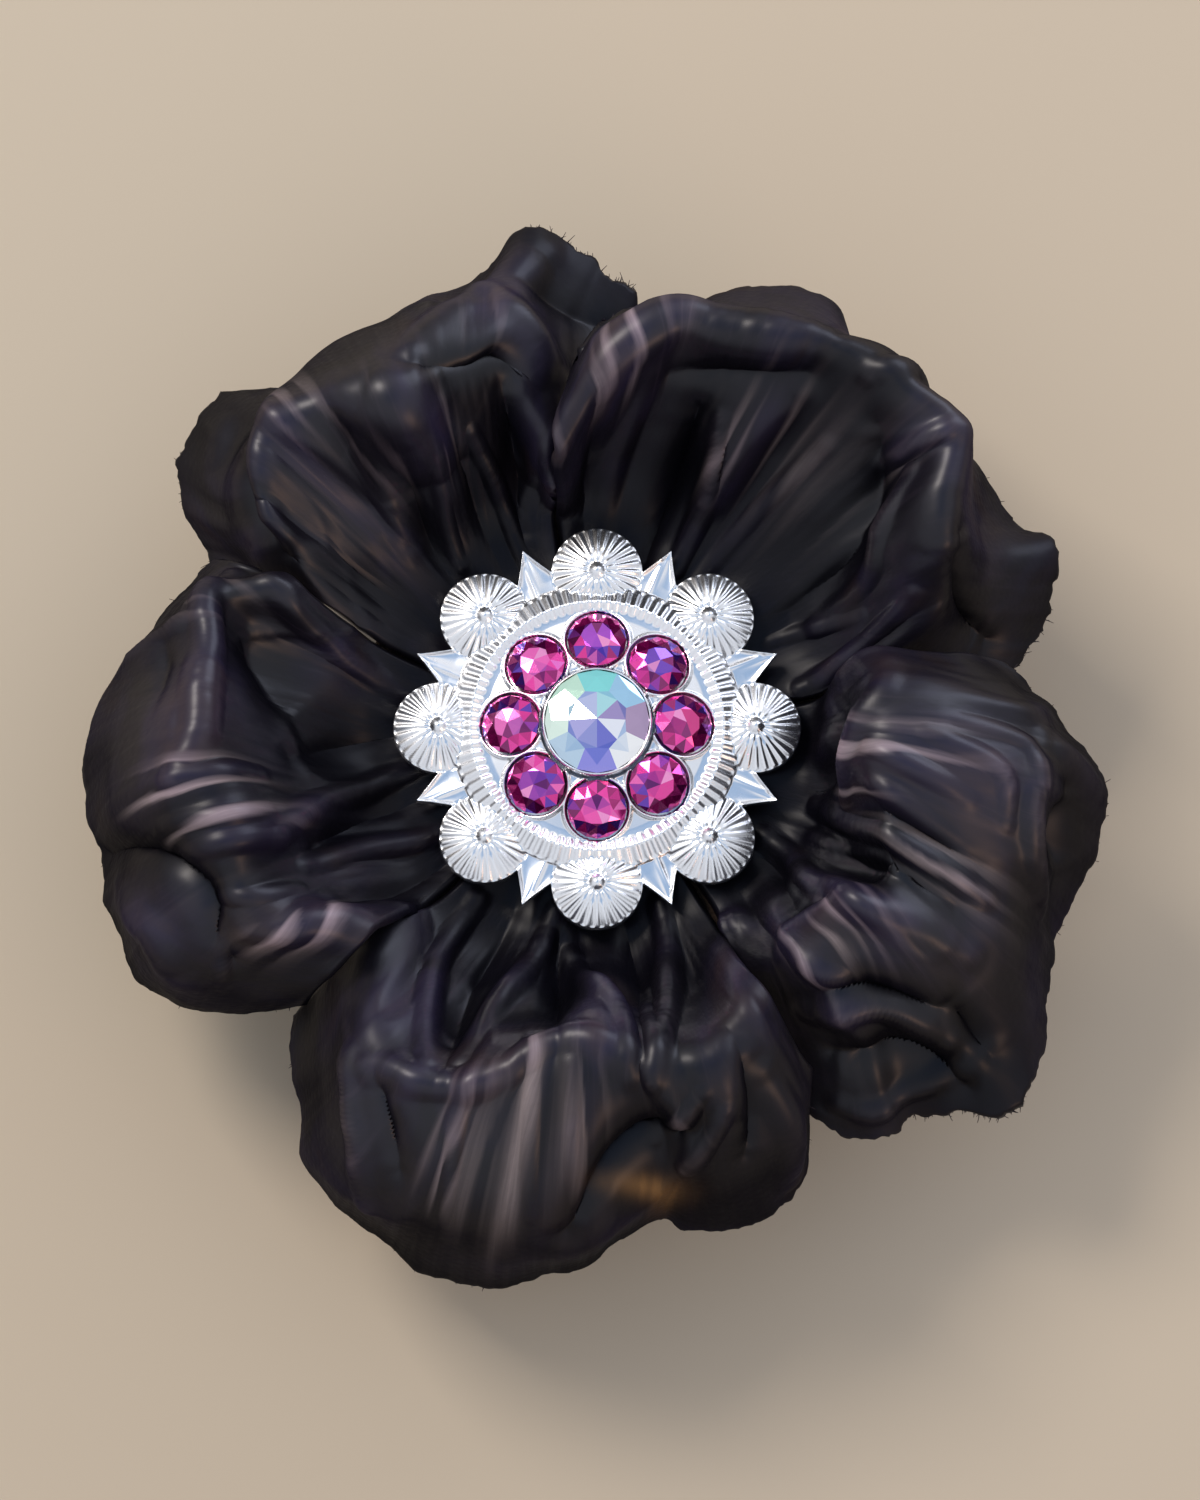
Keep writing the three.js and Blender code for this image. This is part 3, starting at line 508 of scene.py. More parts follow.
# Each rib: the crest's bearing, reach and height, the rim's bearing, reach and height, and the bulge
PETALS = {
    "petal_upper_left": {
        "root": [102.5, 157],
        "ribs": [
            [97, 21.5, 8.5, 84, 34, 4, 0.4],
            [99, 25, 11, 90, 37, 5, 0],
            [104, 29, 15.5, 97, 40, 7, -0.8],
            [111, 29, 17.5, 104.5, 37, 5, 0.8],
            [118, 29, 18.5, 114, 37, 3, 2.4],
            [126, 29.5, 18, 123, 37, 2.5, 3],
            [133, 32, 16.5, 130.5, 36.3, 2.5, 2],
            [139.5, 34, 15.5, 137.5, 40.3, 4, -0.8],
            [145, 32.5, 15, 144.5, 40.3, 3.5, -1.8],
            [150, 29, 13.5, 150.5, 37, 3, -1.2],
            [155, 25, 9.5, 155.5, 32, 3, 0],
        ],
    },
    "petal_upper_right": {
        "root": [10, 99.5],
        "ribs": [
            [13, 23, 8.5, 8, 31.5, 3.5, 0.2],
            [17.5, 28, 12.5, 14, 36, 3.5, -0.6],
            [24.5, 29.5, 16, 21, 37.8, 4, -1.6],
            [31, 31, 17.5, 28, 36, 4, -0.6],
            [38, 34.5, 17.5, 37, 35.5, 8, 0.8],
            [46, 34, 18.5, 46, 34.5, 5, 1.8],
            [55, 33.5, 18.5, 54, 35, 4, 1.2],
            [63, 32.5, 18.5, 62, 38.3, 5, -1.2],
            [71, 31.5, 18, 70, 37, 6, -1],
            [79, 30.5, 17.5, 78, 34, 8, 0.2],
            [89, 26, 17.5, 86, 31.5, 13, 0.8],
            [99, 20.5, 14.5, 93, 28.5, 16, 0.4],
        ],
    },
    "petal_right": {
        "root": [-56, 7],
        "ribs": [
            [-60, 22, 8.5, -62.5, 31, 4, 0.4],
            [-52, 25, 12.5, -57, 37, 2.5, 0.8],
            [-46, 25.5, 15.5, -50, 38.5, 2.5, 1.6],
            [-38.5, 25.5, 16.5, -42.5, 43, 4, 0.8],
            [-31, 26, 17, -34, 41, 2.5, 2.6],
            [-22, 24, 18, -24.5, 38, 1.5, 4.4],
            [-13, 22.5, 18.5, -14.5, 39.5, 3.5, 4.6],
            [-5, 22, 18.5, -5, 39, 6, 4.2],
            [3, 22.5, 17.5, 2, 35, 8, 3],
            [11.5, 21.5, 14, 8.5, 31, 10.5, 1.2],
        ],
    },
    "petal_lower": {
        "root": [-131, -60],
        "ribs": [
            [-136, 24, 8.5, -136, 32, 3.5, 0.4],
            [-125, 30.5, 14, -127, 37.5, 2, 1.6],
            [-117, 32, 16.5, -119.5, 41.5, 0.5, 3],
            [-109, 30.5, 17.5, -110, 43, -0.5, 4.4],
            [-100, 28, 18.5, -100.5, 42.5, -0.5, 5.6],
            [-91, 27, 18.5, -91.5, 41.5, 0, 5.4],
            [-83, 28, 18, -82, 38, 2, 2.4],
            [-75, 29, 18.5, -74.5, 39.3, 2.5, 2.6],
            [-68, 28, 18, -66.5, 38.5, 3, 2.4],
            [-61, 25.5, 15.5, -60.5, 32.5, 8, 1.4],
        ],
    },
    "petal_left": {
        "root": [160, 226],
        "ribs": [
            [156.5, 26, 13, 156.5, 32.4, 9, 0.4],
            [164, 30.5, 15.5, 165, 35.3, 4, 1],
            [171, 30.5, 16.5, 174.5, 38.3, 3, 1.8],
            [178, 30.3, 17.5, 181, 39.6, 2.5, 2],
            [186, 30, 18.5, 188, 39.5, 2.5, 3],
            [195.5, 30, 18.5, 196, 39.7, 1.5, 3.2],
            [205, 30.5, 17.5, 205, 40, 1.5, 2.6],
            [213.5, 30, 16, 214, 38, 3.5, 2.2],
            [224.5, 25, 13.5, 224, 32, 9.5, 0.6],
        ],
    },
}
print("ribs:", {name: len(petal["ribs"]) for name, petal in PETALS.items()})


# %% A smooth surface through the ribs
def curve_through(points, shares):
    """A Catmull-Rom curve through points, read at shares from 0 to 1. A point may be a whole row."""
    points = np.asarray(points, float)
    ends = [2 * points[:1] - points[1:2], 2 * points[-1:] - points[-2:-1]]
    padded = np.concatenate([ends[0], points, ends[1]])
    place = np.clip(shares, 0, 1) * (len(points) - 1)
    first = np.minimum(place.astype(int), len(points) - 2)
    t = (place - first).reshape(-1, *[1] * (points.ndim - 1))
    before, start, end, after = (padded[first + i] for i in range(4))
    way_in = (end - before) / 2
    way_out = (after - start) / 2
    bend = (2 * start - 2 * end + way_in + way_out) * t**3
    return bend + (3 * end - 3 * start - 2 * way_in - way_out) * t**2 + way_in * t + start


def petal_rails(petal):
    """Six lines across a petal: root, concho's edge, inner slope, crest, shoulder and rim."""
    rails = [[] for _ in range(6)]
    valley = CONCHO_RADIUS + VALLEY_OUT
    from_bearing, to_bearing = petal["root"]
    for i, rib in enumerate(petal["ribs"]):
        crest_bearing, crest_reach, crest_height, rim_bearing, rim_reach, rim_height, bulge = rib
        bearing = from_bearing + (to_bearing - from_bearing) * i / (len(petal["ribs"]) - 1)
        crest = polar(crest_bearing, crest_reach, crest_height)
        rim = polar(rim_bearing, rim_reach, rim_height)
        outwards = polar((crest_bearing + rim_bearing) / 2, BULGE_OUT, BULGE_UP)
        climb = ROOT_HEIGHT + INNER_CLIMB * (crest_height - ROOT_HEIGHT)
        rails[0].append(polar(bearing, HUB_RADIUS, ROOT_HEIGHT))
        rails[1].append(polar(bearing, valley, ROOT_HEIGHT + VALLEY_UP))
        rails[2].append(polar((bearing + crest_bearing) / 2, (valley + crest_reach) / 2, climb))
        rails[3].append(crest)
        rails[4].append((crest + rim) / 2 + bulge * outwards)
        rails[5].append(rim)
    return rails


def petal_surface(petal, rows, columns):
    """The middle of the leather as a grid: rows from root to rim, columns from side to side."""
    across = np.linspace(0, 1, columns)
    along = np.linspace(0, 1, rows)
    lines = np.stack([curve_through(rail, across) for rail in petal_rails(petal)])
    surface = curve_through(lines, along)
    fade = np.maximum(0, 1 - along / PLEAT_FADE)[:, None]
    surface[..., 2] += PLEAT_HEIGHT * np.cos(2 * np.pi * PLEATS * across)[None, :] * fade
    return surface


left_heights = petal_surface(PETALS["petal_left"], 60, 60)[..., 2]
print("petal_left, its lowest point in mm:", left_heights.min().round(1))

# %% [markdown]
# ## Folds and creases
#
# Sculpting by hand would work here, but a script has to give the same petal each time. So each fold is
# a line drawn on the flat leather, with a height and a half-width in mm: a ridge above zero, a crease
# below it. The line is laid on the curved petal first and the distance to it is measured there, so a
# fold keeps its width wherever the petal turns. Ridges get a round top. Creases get a narrow bottom,
# the way leather folds.

# %% Fold lines: height and half-width in mm, then points as shares of 100 across and along
FOLDS = {
    "petal_upper_left": [
        (-2.2, 1.3, [(65, 84), (74, 66), (82, 67), (89, 67), (94, 60)]),
        (0.5, 1.5, [(70, 58), (78, 58), (87, 58), (95, 58)]),
        (0.7, 1.8, [(71, 93), (76, 88), (82, 86)]),
        (1.2, 1.6, [(40, 67), (31, 76), (23, 86), (18, 95)]),
        (-2.0, 1.4, [(42, 64), (36, 62), (24, 58), (13, 60)]),
        (-0.9, 1.3, [(24, 84), (14, 85), (2, 91)]),
        (0.6, 1.2, [(30, 84), (21, 72), (15, 68), (10, 68)]),
        (1.5, 3.4, [(52, 62), (47, 54), (43, 46), (42, 40)]),
        (0.7, 0.4, [(30, 46), (26, 38), (21, 28), (17, 14)]),
        (-1.2, 1.2, [(38, 54), (37, 46), (34, 36), (31, 16)]),
        (0.6, 1.0, [(54, 56), (57, 41), (62, 30)]),
        (0.4, 0.4, [(42, 46), (44, 36), (48, 22)]),
        (-0.9, 1.0, [(48, 50), (52, 36), (56, 20)]),
        (0.5, 0.7, [(8, 56), (10, 40), (12, 20)]),
        (-1.0, 1.0, [(20, 52), (16, 40), (13, 22)]),
    ],
    "petal_upper_right": [
        (0.7, 1.1, [(99, 62), (97, 72), (91, 72), (86, 66), (80, 61), (76, 58)]),
        (0.5, 1.6, [(77, 58), (72, 56), (66, 56), (61, 58), (55, 60)]),
        (-1.2, 1.1, [(80, 50), (72, 50), (64, 51), (58, 53)]),
        (-2.4, 1.1, [(72, 44), (71, 36), (71, 28), (72, 16)]),
        (1.0, 0.5, [(67, 44), (64, 36), (62, 28), (61, 16)]),
        (0.9, 1.2, [(61, 30), (60, 42), (57, 50)]),
        (-1.4, 1.3, [(44, 52), (38, 47), (30, 40), (26, 24)]),
        (0.9, 0.7, [(34, 52), (28, 47), (21, 42), (18, 28)]),
        (1.0, 0.8, [(36, 63), (38, 55), (39, 48)]),
        (0.8, 0.5, [(2, 20), (5, 34), (10, 44), (14, 52)]),
        (0.4, 0.4, [(20, 18), (16, 32), (15, 40)]),
        (-2.0, 1.4, [(21, 64), (14, 64), (9, 70), (6, 84)]),
        (0.7, 0.8, [(50, 58), (47, 70), (45, 82)]),
        (-1.0, 1.0, [(57, 66), (55, 78), (54, 92)]),
        (0.6, 0.8, [(84, 52), (86, 38), (88, 20)]),
        (-0.9, 1.0, [(92, 54), (93, 38), (94, 20)]),
        (0.5, 0.6, [(48, 46), (50, 32), (52, 16)]),
    ],
    "petal_right": [
        (0.9, 0.8, [(94, 62), (84, 57), (74, 53), (66, 49), (60, 44)]),
        (-1.0, 1.2, [(88, 46), (78, 40), (68, 34), (60, 24)]),
        (0.6, 0.6, [(71, 58), (68, 64), (65, 71)]),
        (0.6, 0.6, [(62, 58), (59, 65), (57, 72)]),
        (0.8, 0.7, [(58, 26), (54, 40), (51, 52), (52, 66), (52, 76)]),
        (-0.9, 0.8, [(57, 58), (57, 66), (56, 74)]),
        (-1.8, 1.2, [(50, 28), (47, 40), (44, 50), (46, 62), (48, 72)]),
        (1.0, 1.1, [(12, 54), (19, 51), (28, 55), (36, 61), (40, 68), (43, 76)]),
        (0.6, 0.7, [(14, 59), (18, 65), (22, 69)]),
        (1.0, 0.9, [(10, 70), (20, 73), (27, 77), (31, 86)]),
        (-1.3, 0.9, [(14, 66), (22, 70), (29, 74), (34, 80)]),
        (-2.0, 1.5, [(12, 79), (20, 83), (27, 88), (30, 95)]),
        (-1.3, 1.0, [(36, 80), (36, 92)]),
        (0.8, 0.8, [(10, 92), (17, 94), (24, 94), (30, 92)]),
        (0.6, 0.5, [(76, 66), (72, 74), (64, 76)]),
        (0.5, 0.5, [(80, 70), (78, 78), (72, 80)]),
        (-2.4, 2.0, [(73, 88), (67, 88), (62, 92)]),
        (1.0, 1.1, [(80, 84), (77, 90), (75, 97)]),
        (1.0, 0.9, [(74, 80), (68, 79), (62, 82), (57, 90)]),
        (0.6, 0.6, [(30, 48), (34, 34), (38, 18)]),
        (-1.0, 1.0, [(22, 46), (26, 32), (30, 16)]),
    ],
    "petal_lower": [
        (1.0, 0.7, [(8, 20), (11, 36), (18, 47), (25, 57)]),
        (1.1, 0.7, [(40, 16), (35, 32), (32, 44), (31, 56)]),
        (1.1, 0.7, [(45, 18), (54, 33), (61, 45), (63, 60)]),
        (1.1, 0.7, [(86, 16), (81, 30), (74, 48), (69, 63)]),
        (0.6, 0.5, [(72, 36), (70, 50), (69, 61)]),
        (-2.0, 1.5, [(22, 18), (23, 34), (26, 50)]),
        (-2.0, 1.6, [(46, 22), (46, 36), (47, 54)]),
        (-2.0, 1.5, [(69, 16), (71, 32), (69, 46)]),
        (1.0, 0.9, [(12, 69), (19, 61), (26, 61), (35, 62), (41, 61), (47, 57), (57, 59), (63, 63)]),
        (0.4, 0.4, [(44, 58), (46, 68), (48, 80)]),
        (0.4, 0.4, [(34, 64), (36, 74), (38, 86)]),
        (0.4, 0.4, [(52, 62), (53, 72), (54, 80)]),
        (1.0, 0.8, [(12, 66), (18, 72), (22, 76), (27, 86)]),
        (-1.1, 0.9, [(18, 63), (24, 69), (29, 76)]),
        (-2.6, 1.2, [(53, 84), (58, 77), (64, 74), (72, 73)]),
        (0.9, 2.0, [(90, 58), (86, 66), (82, 74)]),
        (0.7, 0.5, [(77, 66), (72, 71), (67, 76)]),
        (0.7, 0.5, [(81, 70), (76, 75), (72, 80)]),
        (-1.2, 0.9, [(88, 62), (86, 72), (82, 80)]),
        (1.0, 1.0, [(92, 70), (91, 84), (88, 95)]),
    ],
    "petal_left": [
        (1.3, 0.9, [(4, 76), (14, 62), (24, 59), (36, 60), (48, 61), (56, 66)]),
        (-1.1, 1.8, [(20, 72), (30, 69), (42, 70)]),
        (-1.8, 2.4, [(14, 50), (26, 46), (36, 40)]),
        (0.5, 0.5, [(24, 82), (21, 72), (18, 62)]),
        (0.5, 0.6, [(57, 70), (57, 60), (56, 50)]),
        (0.5, 0.5, [(63, 70), (65, 60), (65, 52)]),
        (0.5, 0.5, [(69, 68), (70, 58), (70, 50)]),
        (0.4, 0.5, [(79, 66), (82, 58), (83, 50)]),
        (0.5, 0.7, [(87, 65), (93, 59), (96, 52)]),
        (-2.0, 1.0, [(59, 97), (64, 78), (71, 69), (80, 67), (88, 74)]),
        (1.0, 1.6, [(68, 88), (76, 80), (84, 84)]),
        (0.9, 0.7, [(44, 14), (54, 26), (61, 40), (70, 51)]),
        (0.9, 0.7, [(80, 16), (75, 31), (77, 46)]),
        (-1.4, 1.2, [(62, 16), (66, 30), (72, 42)]),
        (-1.3, 1.3, [(30, 16), (38, 28), (48, 42)]),
        (0.8, 0.8, [(3, 60), (6, 42), (12, 16)]),
        (0.5, 0.5, [(82, 66), (87, 74), (90, 84)]),
        (-1.0, 1.0, [(90, 50), (92, 34), (94, 16)]),
    ],
}


# %% Pressing the folds in
CREASE_ROUND = 0.35  # how round the bottom of a crease is, as a share of its half-width


def points_on(surface, line, steps=60):
    """Points along a fold line, laid on the petal's surface."""
    line = curve_through(np.array(line) / 100, np.linspace(0, 1, steps))
    rows, columns = surface.shape[:2]
    column = np.clip(line[:, 0], 0, 1) * (columns - 1)
    row = np.clip(line[:, 1], 0, 1) * (rows - 1)
    r, c = np.minimum(row.astype(int), rows - 2), np.minimum(column.astype(int), columns - 2)
    dr, dc = (row - r)[:, None], (column - c)[:, None]
    near = surface[r, c] * (1 - dc) + surface[r, c + 1] * dc
    far = surface[r + 1, c] * (1 - dc) + surface[r + 1, c + 1] * dc
    return near * (1 - dr) + far * dr


def fold_relief(surface, folds):
    """How far each point of a petal is pushed out or in by its folds, in mm."""
    relief = np.zeros(surface.shape[:2])
    for height, width, line in folds:
        path = points_on(surface, line)
        gaps = surface[:, :, None, :] - path
        squares = np.einsum("ijkx,ijkx->ijk", gaps, gaps)
        nearest = squares.argmin(-1)
        distance = np.sqrt(squares.min(-1)) / width
        ends = np.sin(np.pi * np.clip(nearest / (len(path) - 1), 0.06, 0.94)) ** 0.5
        if height > 0:
            profile = np.exp(-(distance**2))
        else:
            profile = np.exp(CREASE_ROUND - np.sqrt(distance**2 + CREASE_ROUND**2))
        relief += height * profile * ends
    return relief


def soft_noise(x, y, seed):
    """Smooth random hills between -1 and 1, about one unit across, the same on each run."""
    cells = 61  # the pattern repeats after this many units
    table = np.random.default_rng(seed).uniform(-1, 1, (cells, cells))
    i, j = np.floor(x).astype(int), np.floor(y).astype(int)
    u, v = x - i, y - j
    u, v = u * u * (3 - 2 * u), v * v * (3 - 2 * v)
    corners = [table[(i + a) % cells, (j + b) % cells] for a in (0, 1) for b in (0, 1)]
    left = corners[0] * (1 - v) + corners[1] * v
    right = corners[2] * (1 - v) + corners[3] * v
    return left * (1 - u) + right * u


print("folds:", {name: len(lines) for name, lines in FOLDS.items()})

# %% [markdown]
# ## From a surface to a sheet of leather
#
# Blender's Solidify would give the sheet its thickness, but it leaves a square edge. Cut and worn
# leather has a rounded one. So the sheet is closed by hand: the grid is doubled, half a thickness to
# each side, and a third line of points stands a little proud along the cut edge.

# %% Sheets with a rounded edge
EDGE_ROUND = 0.35  # how far the middle of a cut edge stands out, as a share of the thickness


def around(grid):
    """The points along a grid's four sides, once round."""
    return np.concatenate([grid[0, :-1], grid[:-1, -1], grid[-1, :0:-1], grid[:0:-1, 0]])


def close_sheet(middle, thickness):
    """Points and faces of a sheet of even thickness about a middle surface."""
    rows, columns = middle.shape[:2]
    normals = grid_normals(middle)
    upper = middle + normals * thickness / 2
    lower = middle - normals * thickness / 2
    numbers = np.arange(rows * columns).reshape(rows, columns)
    inner = np.pad(middle[1:-1, 1:-1], ((1, 1), (1, 1), (0, 0)), mode="edge")
    outwards = unit(around(middle) - around(inner))
    edge = around(middle) + outwards * thickness * EDGE_ROUND
    points = np.concatenate([upper.reshape(-1, 3), lower.reshape(-1, 3), edge])
    rim = around(numbers)
    band = np.stack([rim, 2 * rows * columns + np.arange(len(rim)), rim + rows * columns])
    following = np.roll(band, -1, axis=1)
    faces = [grid_faces(rows, columns), grid_faces(rows, columns, rows * columns)[:, ::-1]]
    for a, b in ((0, 1), (1, 2)):
        faces.append(np.stack([band[a], band[b], following[b], following[a]], -1))
    return points, faces


def sheet_values(values):
    """A grid's values in the order of a closed sheet's points."""
    flat = values.reshape(-1, *values.shape[2:])
    return np.concatenate([flat, flat, around(values)])


def volume_sign(points, faces):
    """Above zero when the faces of a closed mesh look outwards."""
    total = 0.0
    for group in faces:
        a, b, c = (points[group[:, i]] for i in range(3))
        total += np.einsum("ij,ij->", a, np.cross(b, c))
        if group.shape[1] == 4:
            d = points[group[:, 3]]
            total += np.einsum("ij,ij->", a, np.cross(c, d))
    return total


def facing_out(points, faces):
    """The faces of a closed mesh, turned round if they look inwards."""
    if volume_sign(points, faces) < 0:
        return [group[:, ::-1] for group in faces]
    return faces


# %% [markdown]
# ## Wires and fibres
#
# The spring's wire and the loose fibres on a cut edge are the same thing at two sizes: a circle carried
# along a path. Blender's curves can do that with their bevel setting. A mesh is made here instead, so
# that every piece has points which can carry values, and closed ends.

# %% Round wires and fibres
def tube(path, radius, segments=16):
    """Points and faces of a round wire along a path, with flat ends. radius may be one for each point."""
    path = np.array(path)
    forward = unit(np.gradient(path, axis=0))
    across = np.cross(forward[0], [0.1, 0, 1.0])
    angle = np.linspace(0, 2 * np.pi, segments, endpoint=False)
    rows = []
    for middle, ahead, thick in zip(path, forward, radius + 0 * path[:, 0]):
        across = unit(across - ahead * across.dot(ahead))
        side = np.cross(ahead, across)
        circle = np.cos(angle)[:, None] * across + np.sin(angle)[:, None] * side
        rows.append(middle + thick * circle)
    return np.concatenate([*rows, path[:1], path[-1:]]), ring_faces(len(path), segments)


print("points in a wire of 3 rings:", len(tube([(0, 0, 0), (1, 0, 0), (2, 0, 0)], 0.5)[0]))

# %% [markdown]
# ## The petals' surfaces
#
# Between the folds, wet-formed leather is never smooth. It has shallow creases along the pull, soft lumps
# where fingers pressed, and crumples where it was squeezed. Each of them is smooth noise, stretched to
# its real spacing in mm. A crumple is the same noise folded at zero, which gives it a sharp line.
#
# The root is pressed flat under the concho, so all of this fades in past it.

# %% Small relief between the folds: height, then spacing across and along, in mm
PULL_CREASES = (0.05, 1.9, 14)
FINE_CREASES = (0.02, 0.8, 9)
LUMPS = (0.5, 7, 8)
CRUMPLES = (0.5, 8, 12)
RIM_WAVES = (0.8, 3.2, 30)
WANDER = (1.5, 9, 9)  # how far the creases stray sideways
ROWS = 170  # from root to rim
COLUMNS = 200  # from side to side


def noise(x, y, size, seed):
    """Smooth noise between -1 and 1 with a relief's own spacing."""
    _, across, along = size
    return soft_noise(x / across, y / along, seed)


def small_relief(x, y, bend, seed):
    """What fingers leave between the folds, in mm. bend makes its lines wander a little."""
    creases = 1 - 2 * np.abs(noise(x + bend, y, PULL_CREASES, seed + 1))
    fine = noise(x + bend, y, FINE_CREASES, seed + 2)
    lumps = noise(x, y, LUMPS, seed + 3)
    crumples = 1 - 2 * np.abs(noise(x + 2 * bend, y, CRUMPLES, seed + 9))
    parts = PULL_CREASES[0] * creases + FINE_CREASES[0] * fine
    return parts + LUMPS[0] * lumps + CRUMPLES[0] * crumples


def softened(values):
    """Each value averaged with its four neighbours, so that a fold across the grid has no steps."""
    wide = np.pad(values, 1, mode="edge")
    cross = wide[:-2, 1:-1] + wide[2:, 1:-1] + wide[1:-1, :-2] + wide[1:-1, 2:]
    return 0.5 * values + 0.125 * cross


print("points in a petal's grid:", ROWS * COLUMNS)

# %% [markdown]
# ## Where the finish is worn, and where light and shade are painted
#
# A material sees a point only by its values, so the petal hands over five: where it lies on the flat
# leather, how far it is drawn out and pale, which is partly a painted highlight, where the dye is
# missing, how high it stands, and how much wax the cloth left there. The height value also holds how
# far the cloth reached. It paints high places and crests lighter, partly as rubbed wear and partly as
# painted light, and low creases and the root darker, as painted shade.

# %% Wear, painted light and shade, wax and bare leather
STREAKS_AND_PAINTED_HIGHLIGHTS = {  # pale places, partly drawn-out leather and partly painted highlights: across, along, how far they reach both ways, and how pale
    "petal_upper_left": [(44, 50, 9, 12, 0.35), (27, 60, 5, 10, 0.3), (62, 70, 8, 12, 0.3)],
    "petal_upper_right": [(56, 42, 8, 10, 0.5), (90, 62, 7, 8, 0.6), (40, 40, 6, 12, 0.3)],
    "petal_right": [(66, 56, 10, 14, 0.8), (24, 58, 10, 8, 0.6), (55, 66, 6, 10, 0.7)],
    "petal_lower": [(45, 72, 1.6, 14, 1.2), (36, 74, 6, 10, 0.35), (54, 72, 4, 9, 0.35), (74, 73, 5, 6, 0.2)],
    "petal_left": [(57, 62, 3, 12, 1.0), (68, 62, 5, 12, 0.8), (90, 60, 5, 10, 1.0), (12, 66, 6, 8, 0.4)],
}
STREAK_SPACING = (1, 0.9, 16)  # a share, then mm across and along
BARE_FOLD = {"petal_lower": (3.4, -36.1)}  # mm, the middle of the place the dye missed
BARE_REACH = (2.8, 0.75)  # mm, how far that place goes along X and Y
RUB_SPACING = (1, 11, 11)  # the same for the places that the cloth rubbed more or less
RIDGE_SPREAD = 5  # rounds of softening that a ridge is compared with


def worn_and_highlit_ridges(relief):
    """1 on a sharp ridge, else 0: pale, partly rubbed wear and partly a painted highlight."""
    smooth = relief
    for _ in range(RIDGE_SPREAD):
        smooth = softened(smooth)
    return np.clip(8 * (relief - smooth) - 0.6, 0, 1)


def drawn_out_and_painted_highlights(name, across, along):
    """How pale a petal's streaks are: partly drawn-out leather, partly painted highlights."""
    stretch_and_painted_highlight = np.zeros_like(across)
    for at_across, at_along, reach_across, reach_along, pale in STREAKS_AND_PAINTED_HIGHLIGHTS[name]:
        gap = ((across * 100 - at_across) / reach_across) ** 2
        gap += ((along * 100 - at_along) / reach_along) ** 2
        stretch_and_painted_highlight = np.maximum(stretch_and_painted_highlight, pale * np.exp(-gap))
    return stretch_and_painted_highlight


def wax_left(surface, rubbed_and_painted_light):
    """Wax stays on open faces that look up, and most of all where they were rubbed."""
    facing_up = np.abs(grid_normals(surface)[..., 2])
    return rise(facing_up, 0.35, 0.45) * (0.35 + 0.65 * np.clip(rubbed_and_painted_light * 1.2, 0, 1))


def finish_values(name, surface, flat, shares, relief, ridge_wear_and_highlight, bend, seed):
    """The five values that the leather's material reads, each as a grid."""
    x, y = flat
    across, along = shares
    # thin lines with gaps between them
    streaky = np.clip(2.2 * noise(x + bend, y, STREAK_SPACING, seed + 6) - 0.2, 0, 1)
    # pale streaks, partly drawn-out leather and partly painted highlights
    stretch_and_painted_highlight = drawn_out_and_painted_highlights(name, across, along) * streaky
    bare = np.zeros_like(across)
    if name in BARE_FOLD:
        reaches = (surface[..., :2] - BARE_FOLD[name]) / BARE_REACH
        bare = np.exp(-(reaches**2).sum(-1)) * np.clip(0.7 + 0.6 * streaky, 0, 1)
    # the cloth reaches from the valley to the crest, and little past it
    # the same share lightens the colour towards the crest and darkens it at the root: painted light and shade
    rubbed_and_painted_light = rise(along, 0.22, 0.3) * (1 - 0.85 * rise(along, 0.72, 0.28))
    rubbed_and_painted_light *= 0.75 + 0.5 * noise(x, y, RUB_SPACING, seed + 7)
    return {
        "flat": np.stack([x, y, np.full_like(x, seed)], -1),
        # the ridges add paleness, partly rubbed wear and partly a painted highlight
        "stretch_and_painted_highlight": np.clip(stretch_and_painted_highlight + 0.1 * ridge_wear_and_highlight, 0, 1.4),
        "bare": bare,
        # painted light and shade: lighter on high places, partly as rubbed wear, darker in creases and at the
        # root
        "relief": np.clip(0.28 + relief / 3.0 + 0.4 * rubbed_and_painted_light, 0, 1),
        "waxed": wax_left(surface, rubbed_and_painted_light),
    }


print("pale places:", {name: len(places) for name, places in STREAKS_AND_PAINTED_HIGHLIGHTS.items()})

# %% [markdown]
# ## Frayed edges
#
# The petals were cut with shears and their edges left raw. Such an edge is never a clean line: it has
# nicks about a millimetre long, and in places bundles of fibres hang out. Blender has a hair system
# for fibres, but hair isn't a mesh, and an export leaves it out. So each fibre is a thin tapered tube.

# %% Ragged rims and loose fibres
NICKS = (0.35, 1.1)  # mm, how deep and how far apart
SMALL_NICKS = (0.2, 0.4)
RAGGED_ROWS = 4  # the nicks fade out over this many rows from the rim
FRAYED = {  # parts of each rim where fibres hang out, as shares of 100 across
    "petal_upper_left": [(2, 22), (60, 68), (82, 99)],
    "petal_upper_right": [(1, 12), (30, 44), (90, 99)],
    "petal_right": [(20, 36), (56, 99)],
    "petal_lower": [(1, 12), (28, 50), (92, 99)],
    "petal_left": [(2, 14), (30, 60), (86, 99)],
}
FIBRE = 0.07  # half the thickness of a fibre, drawn three times as thick as a real bundle, to show
FIBRES_PER_SHARE = 4.5  # to each hundredth of the petal's width
FEWEST_FIBRES = 12  # on each frayed part
FIBRE_REACH = (0.15, 0.85)  # mm, the shortest and the longest
FIBRE_RINGS = 6
FIBRE_SIDES = 5
FIBRE_FINISH = {"stretch_and_painted_highlight": 0.15, "relief": 0.5, "waxed": 0.0, "bare": 0.0}  # a little pale, no wax


